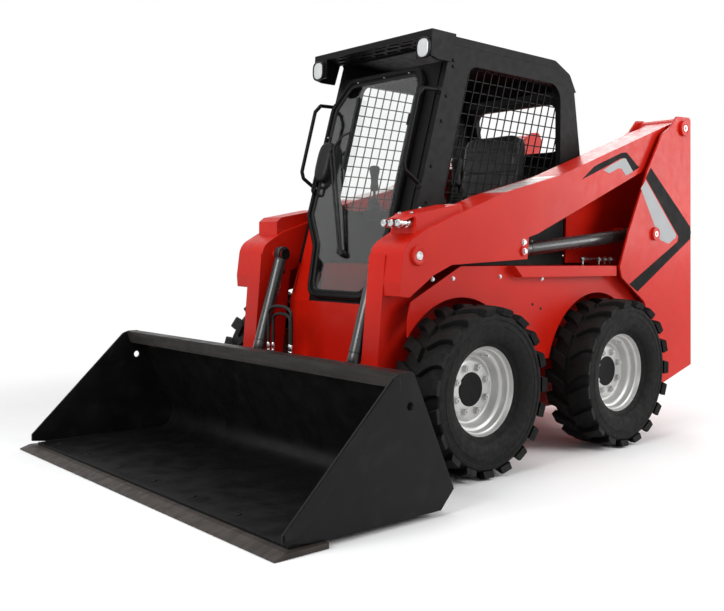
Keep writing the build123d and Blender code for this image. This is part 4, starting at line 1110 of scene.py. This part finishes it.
# Bucket: doubler along each cheek's front edge, plough bolts through the edge, weld beads at the seams
bucketLook = {
    "doubler": [(1.1540, 0.5560), (1.6460, 0.0760), (1.6430, 0.0520), (1.5850, 0.0520), (1.5680, 0.0680),
                (1.1260, 0.4990), (1.1240, 0.5560)],
    "cheek": 1.0628, "boltX": 1.5450, "boltZ": 0.0335, "boltYs": np.linspace(-0.96, 0.96, 7),
}
doublers = [plateParts(bucketLook["doubler"], bucketLook["cheek"], bucketLook["cheek"] + 0.0042, onSide(sign))
            for sign in sides.values()]
addPiece("cheekDoublers", doublers, "bucket", "bucket", (), 20)
ploughHead = [(0, -0.004), (0.0150, -0.004), (0.0150, 0.0012), (0.0135, 0.0022), (0, 0.0026)]
addPiece("ploughBolts", [turnedPart(ploughHead, (bucketLook["boltX"], y, bucketLook["boltZ"]), (0, 0, 1), 20)
         for y in bucketLook["boltYs"]], "bucket", "bucket", (), 30)

weldLook = {"level": 1.0640, "radius": 0.0035,
            "runs": [((1.1235, 0.548), (1.1255, 0.505)), ((1.130, 0.4960), (1.560, 0.0760))]}
beads = []
for sign in sides.values():
    y = sign * weldLook["level"]
    for (startX, startZ), (endX, endZ) in weldLook["runs"]:
        beads.append(weldBead((startX, y, startZ), (endX, y, endZ), weldLook["radius"], (0, sign, 0)))
addPiece("cheekWelds", beads, "bucket", "bucket", (), 50)

# Front face of the box lip along the bucket's top, in a lighter grey that is a painted highlight
lipLook = {"rows": [(1.1300, 0.5715), (1.1305, 0.5715), (1.1085, 0.5105), (1.1080, 0.5105)], "half": 1.0520}
lip = plateParts(lipLook["rows"], -lipLook["half"], lipLook["half"], onSide(1))
addPiece("bucketLipPaintedHighlight", [lip], "bucket", "lipHighlight", (), 30)

# Cross tube: ring of weld where it enters each knee
ringLook = {"x": 0.605, "z": 0.440, "level": 0.411, "radius": 0.0405, "bead": 0.0045, "steps": 64}
rings = []
for sign in sides.values():
    turn = np.linspace(0, 2 * math.pi, ringLook["steps"], endpoint=False)
    circle = np.stack([
        ringLook["x"] + ringLook["radius"] * np.cos(turn),
        np.full(ringLook["steps"], sign * ringLook["level"]),
        ringLook["z"] + ringLook["radius"] * np.sin(turn),
    ], axis=1)
    rings.append(tubePart(circle, ringLook["bead"], True, 8))
addPiece("crossTubeWelds", rings, "arm", "red", (), 50)

# Coupler guard: a curved lip that reaches over the couplers from the arm's top plate
guardLook = {
    "low": 0.4530, "high": 0.5800, "wall": 0.0032, "drop": 0.012,
    "rows": [(0.5600, 1.1905), (0.5900, 1.1830), (0.6180, 1.1740), (0.6420, 1.1660), (0.6560, 1.1600)],
    "boltX": 0.578, "boltZ": 1.1868, "boltYs": (0.478, 0.555), "boltUp": (0.24, 0, 0.97),
}


def guardSheet(look):
    # Profile rows carried across the arm; it falls away with the fourth power of the way out to its edges
    rows = np.array(look["rows"])
    across = np.linspace(-1, 1, 17)
    drop = look["drop"] * np.abs(across) ** 4
    reach = np.linspace(0, 1, len(rows)) ** 2
    top = np.stack(np.broadcast_arrays(
        rows[:, 0, None] - reach[:, None] * drop,
        (look["low"] + look["high"]) / 2 + (look["high"] - look["low"]) / 2 * across[None, :],
        rows[:, 1, None] - drop[None, :],
    ), axis=-1)
    under = top - np.array([0, 0, look["wall"]])
    loop = np.concatenate([top, under[:, ::-1]], axis=1)
    columns = loop.shape[1]
    return loop, cappedFaces(len(rows), columns)


addPiece("couplerGuard", [guardSheet(guardLook)], "arm", "red", (), 40)
guardBolts = [hexPart((guardLook["boltX"], y, guardLook["boltZ"]), guardLook["boltUp"], 0.014, 0.006)
              for y in guardLook["boltYs"]]
addPiece("couplerGuardBolts", guardBolts, "arm", "zinc", (), 30)

# Rear door: paddle latch, hinge leaves and bolts on its leaning face
rearLook = {"footX": -1.6750, "footZ": 0.504, "lean": 0.0664}


def onRear(y, z, behind):
    # The rear door's face, stepped out along its normal
    out = np.array([-1.0, 0, rearLook["lean"]]) / math.hypot(1, rearLook["lean"])
    return np.array([rearLook["footX"] + rearLook["lean"] * (z - rearLook["footZ"]), y, z]) + out * behind, out


latchPlate = [(-0.350, 0.850), (-0.286, 0.850), (-0.286, 0.970), (-0.350, 0.970)]


def rearPlate(outline, near, far):
    # A flat plate of (y, z) rows with rounded corners, solid from near to far out of the rear door's face
    rows = np.asarray(outline, float)
    rows = np.concatenate([rows, np.zeros((len(rows), 1))], axis=1)
    flat = roundedPath(list(rows), 0.012, True)[:, :2]
    out = onRear(0, 0.9, 0)[1]
    x = rearLook["footX"] + rearLook["lean"] * (flat[:, 1] - rearLook["footZ"])
    base = np.stack([x, flat[:, 0], flat[:, 1]], axis=1)
    return np.stack([base + out * near, base + out * far]), cappedFaces(2, len(flat))


latchPaddle = [(-0.341, 0.862), (-0.295, 0.862), (-0.295, 0.930), (-0.341, 0.930)]
latchParts = [rearPlate(latchPlate, -0.001, 0.003), rearPlate(latchPaddle, 0.002, 0.0085)]
addPiece("rearLatch", latchParts, "rear_door", "plastic", (), 35)
spots = [(-0.355, 0.540), (0.330, 0.540), (-0.355, 1.215), (0.330, 1.215), (-0.300, 0.590), (0.300, 0.590),
         (-0.300, 1.030), (0.300, 1.030)]
rearBolts = [hexPart(*onRear(y, z, -0.0002), 0.014, 0.005) for y, z in spots]
addPiece("rearDoorBolts", rearBolts, "rear_door", "zinc", (), 30)
hingeLeaves = []
for z in (0.600, 1.150):
    leaf = [(0.318, z - 0.030), (0.374, z - 0.030), (0.374, z + 0.030), (0.318, z + 0.030)]
    hingeLeaves.append(rearPlate(leaf, -0.001, 0.004))
addPiece("rearHingeLeaves", hingeLeaves, "rear_door", "red", (), 35)
print("small parts made")

# Studio: pale seamless floor, white surroundings to the camera, soft lights from both sides and above
studio = {
    "whiteFrom": 2.1, "whiteTo": 3.9, "worldLight": 0.36,
    "cameraPlace": (3.4086, 3.4325, 1.0137), "yaw": 3.9892, "pitch": -0.0599, "roll": 0.0115,
    "sensor": 36.0, "lens": 45.17701657, "shift": (0.00096685083, 0.00069060773),
    "lamps": [
        # name, place, aim, size, watts
        ("keySoftbox", (5.0, 0.8, 3.2), (0.4, 0.1, 0.5), 2.6, 180),
        ("sideSoftbox", (-2.5, 5.0, 3.4), (-0.5, 0.3, 0.8), 2.8, 180),
        ("rearSideSoftbox", (-5.2, 3.3, 1.9), (-1.5, 0.66, 1.2), 1.8, 45),
        ("backSoftbox", (-4.5, -2.5, 4.0), (-0.5, 0.0, 1.0), 3.0, 100),
        ("topSoftbox", (0.0, 0.0, 5.5), (0.0, 0.0, 0.0), 3.5, 95),
    ],
}


def seenRays(tree):
    # 1 for rays that look straight at the studio, off metal or through glass, 0 for the ones that only light it
    ray = addNode(tree, "ShaderNodeLightPath")
    direct = addNode(tree, "ShaderNodeMath", {"operation": "MAXIMUM"},
                     {0: (ray, "Is Camera Ray"), 1: (ray, "Is Transmission Ray")})
    links = {0: (direct, 0), 1: (ray, "Is Glossy Ray")}
    return addNode(tree, "ShaderNodeMath", {"operation": "MAXIMUM"}, links)


def buildWorld():
    # White to the camera and in reflections, a softer grey as light
    world = bpy.data.worlds.new("paleStudio")
    bpy.context.scene.world = world
    world.use_nodes = True
    tree = world.node_tree
    tree.nodes.clear()
    glow = {"Color": hexColour("#F4F5F7"), "Strength": studio["worldLight"]}
    light = addNode(tree, "ShaderNodeBackground", glow)
    white = addNode(tree, "ShaderNodeBackground", {"Color": (1, 1, 1, 1), "Strength": 1.0})
    mix = addNode(tree, "ShaderNodeMixShader", links={0: (seenRays(tree), 0), 1: (light, 0), 2: (white, 0)})
    addNode(tree, "ShaderNodeOutputWorld", links={"Surface": (mix, 0)})


def buildFloor():
    # Painted studio floor: it keeps the soft shadow near the machine and runs out to white
    size = 40.0
    corners = size * np.array([(-1, -1, 0), (1, -1, 0), (1, 1, 0), (-1, 1, 0)]) - np.array([0, 0, 0.0005])
    floor = meshPiece("studioFloor", corners, [[0, 1, 2, 3]])
    material, tree, shader, place = startMaterial("paintedStudioFloor", Roughness=0.75)
    mottle(tree, place, shader, 2.0, "#F8F8F8", "#FAFAFA")
    reach = addNode(tree, "ShaderNodeVectorMath", {"operation": "LENGTH"}, {0: (place, "Object")})
    fade = addNode(tree, "ShaderNodeMapRange", {
        "interpolation_type": "SMOOTHSTEP", "From Min": studio["whiteFrom"], "From Max": studio["whiteTo"],
    }, {"Value": (reach, "Value")})
    both = addNode(tree, "ShaderNodeMath", {"operation": "MULTIPLY"}, {0: (fade, 0), 1: (seenRays(tree), 0)})
    white = addNode(tree, "ShaderNodeEmission", {"Color": (1, 1, 1, 1), "Strength": 1.0})
    mix = addNode(tree, "ShaderNodeMixShader", links={0: (both, 0), 1: (shader, 0), 2: (white, 0)})
    output = next(node for node in tree.nodes if node.type == "OUTPUT_MATERIAL")
    tree.links.new(mix.outputs[0], output.inputs["Surface"])
    floor.data.materials.append(material)


def buildCamera():
    # Axes from yaw, pitch and roll; sensor and lens in millimetres, the shift in parts of the frame's width
    yaw, pitch, roll = studio["yaw"], studio["pitch"], studio["roll"]
    ahead = np.array([math.cos(pitch) * math.cos(yaw), math.cos(pitch) * math.sin(yaw), math.sin(pitch)])
    right = np.cross(ahead, (0, 0, 1))
    right /= np.linalg.norm(right)
    up = np.cross(right, ahead)
    right, up = math.cos(roll) * right + math.sin(roll) * up, -math.sin(roll) * right + math.cos(roll) * up
    matrix = np.eye(4)
    matrix[:3, 0], matrix[:3, 1], matrix[:3, 2], matrix[:3, 3] = right, up, -ahead, studio["cameraPlace"]
    data = bpy.data.cameras.new("studioCamera")
    data.sensor_width, data.lens = studio["sensor"], studio["lens"]
    data.shift_x, data.shift_y = studio["shift"]
    camera = placeObject("studioCamera", data)
    camera.matrix_world = Matrix(matrix.tolist())
    bpy.context.scene.camera = camera


def buildLamps():
    # Square area lamps, each turned so that its face looks at its aim
    for name, place, aim, size, watts in studio["lamps"]:
        data = bpy.data.lights.new(name, "AREA")
        data.shape, data.size, data.energy = "SQUARE", size, watts
        lamp = placeObject(name, data)
        lamp.visible_camera = False
        lamp.location = place
        lamp.rotation_euler = (Vector(aim) - Vector(place)).to_track_quat("-Z", "Y").to_euler()


buildWorld()
buildFloor()
buildCamera()
buildLamps()
bpy.context.scene.view_settings.view_transform = "Standard"
print("studio lit")
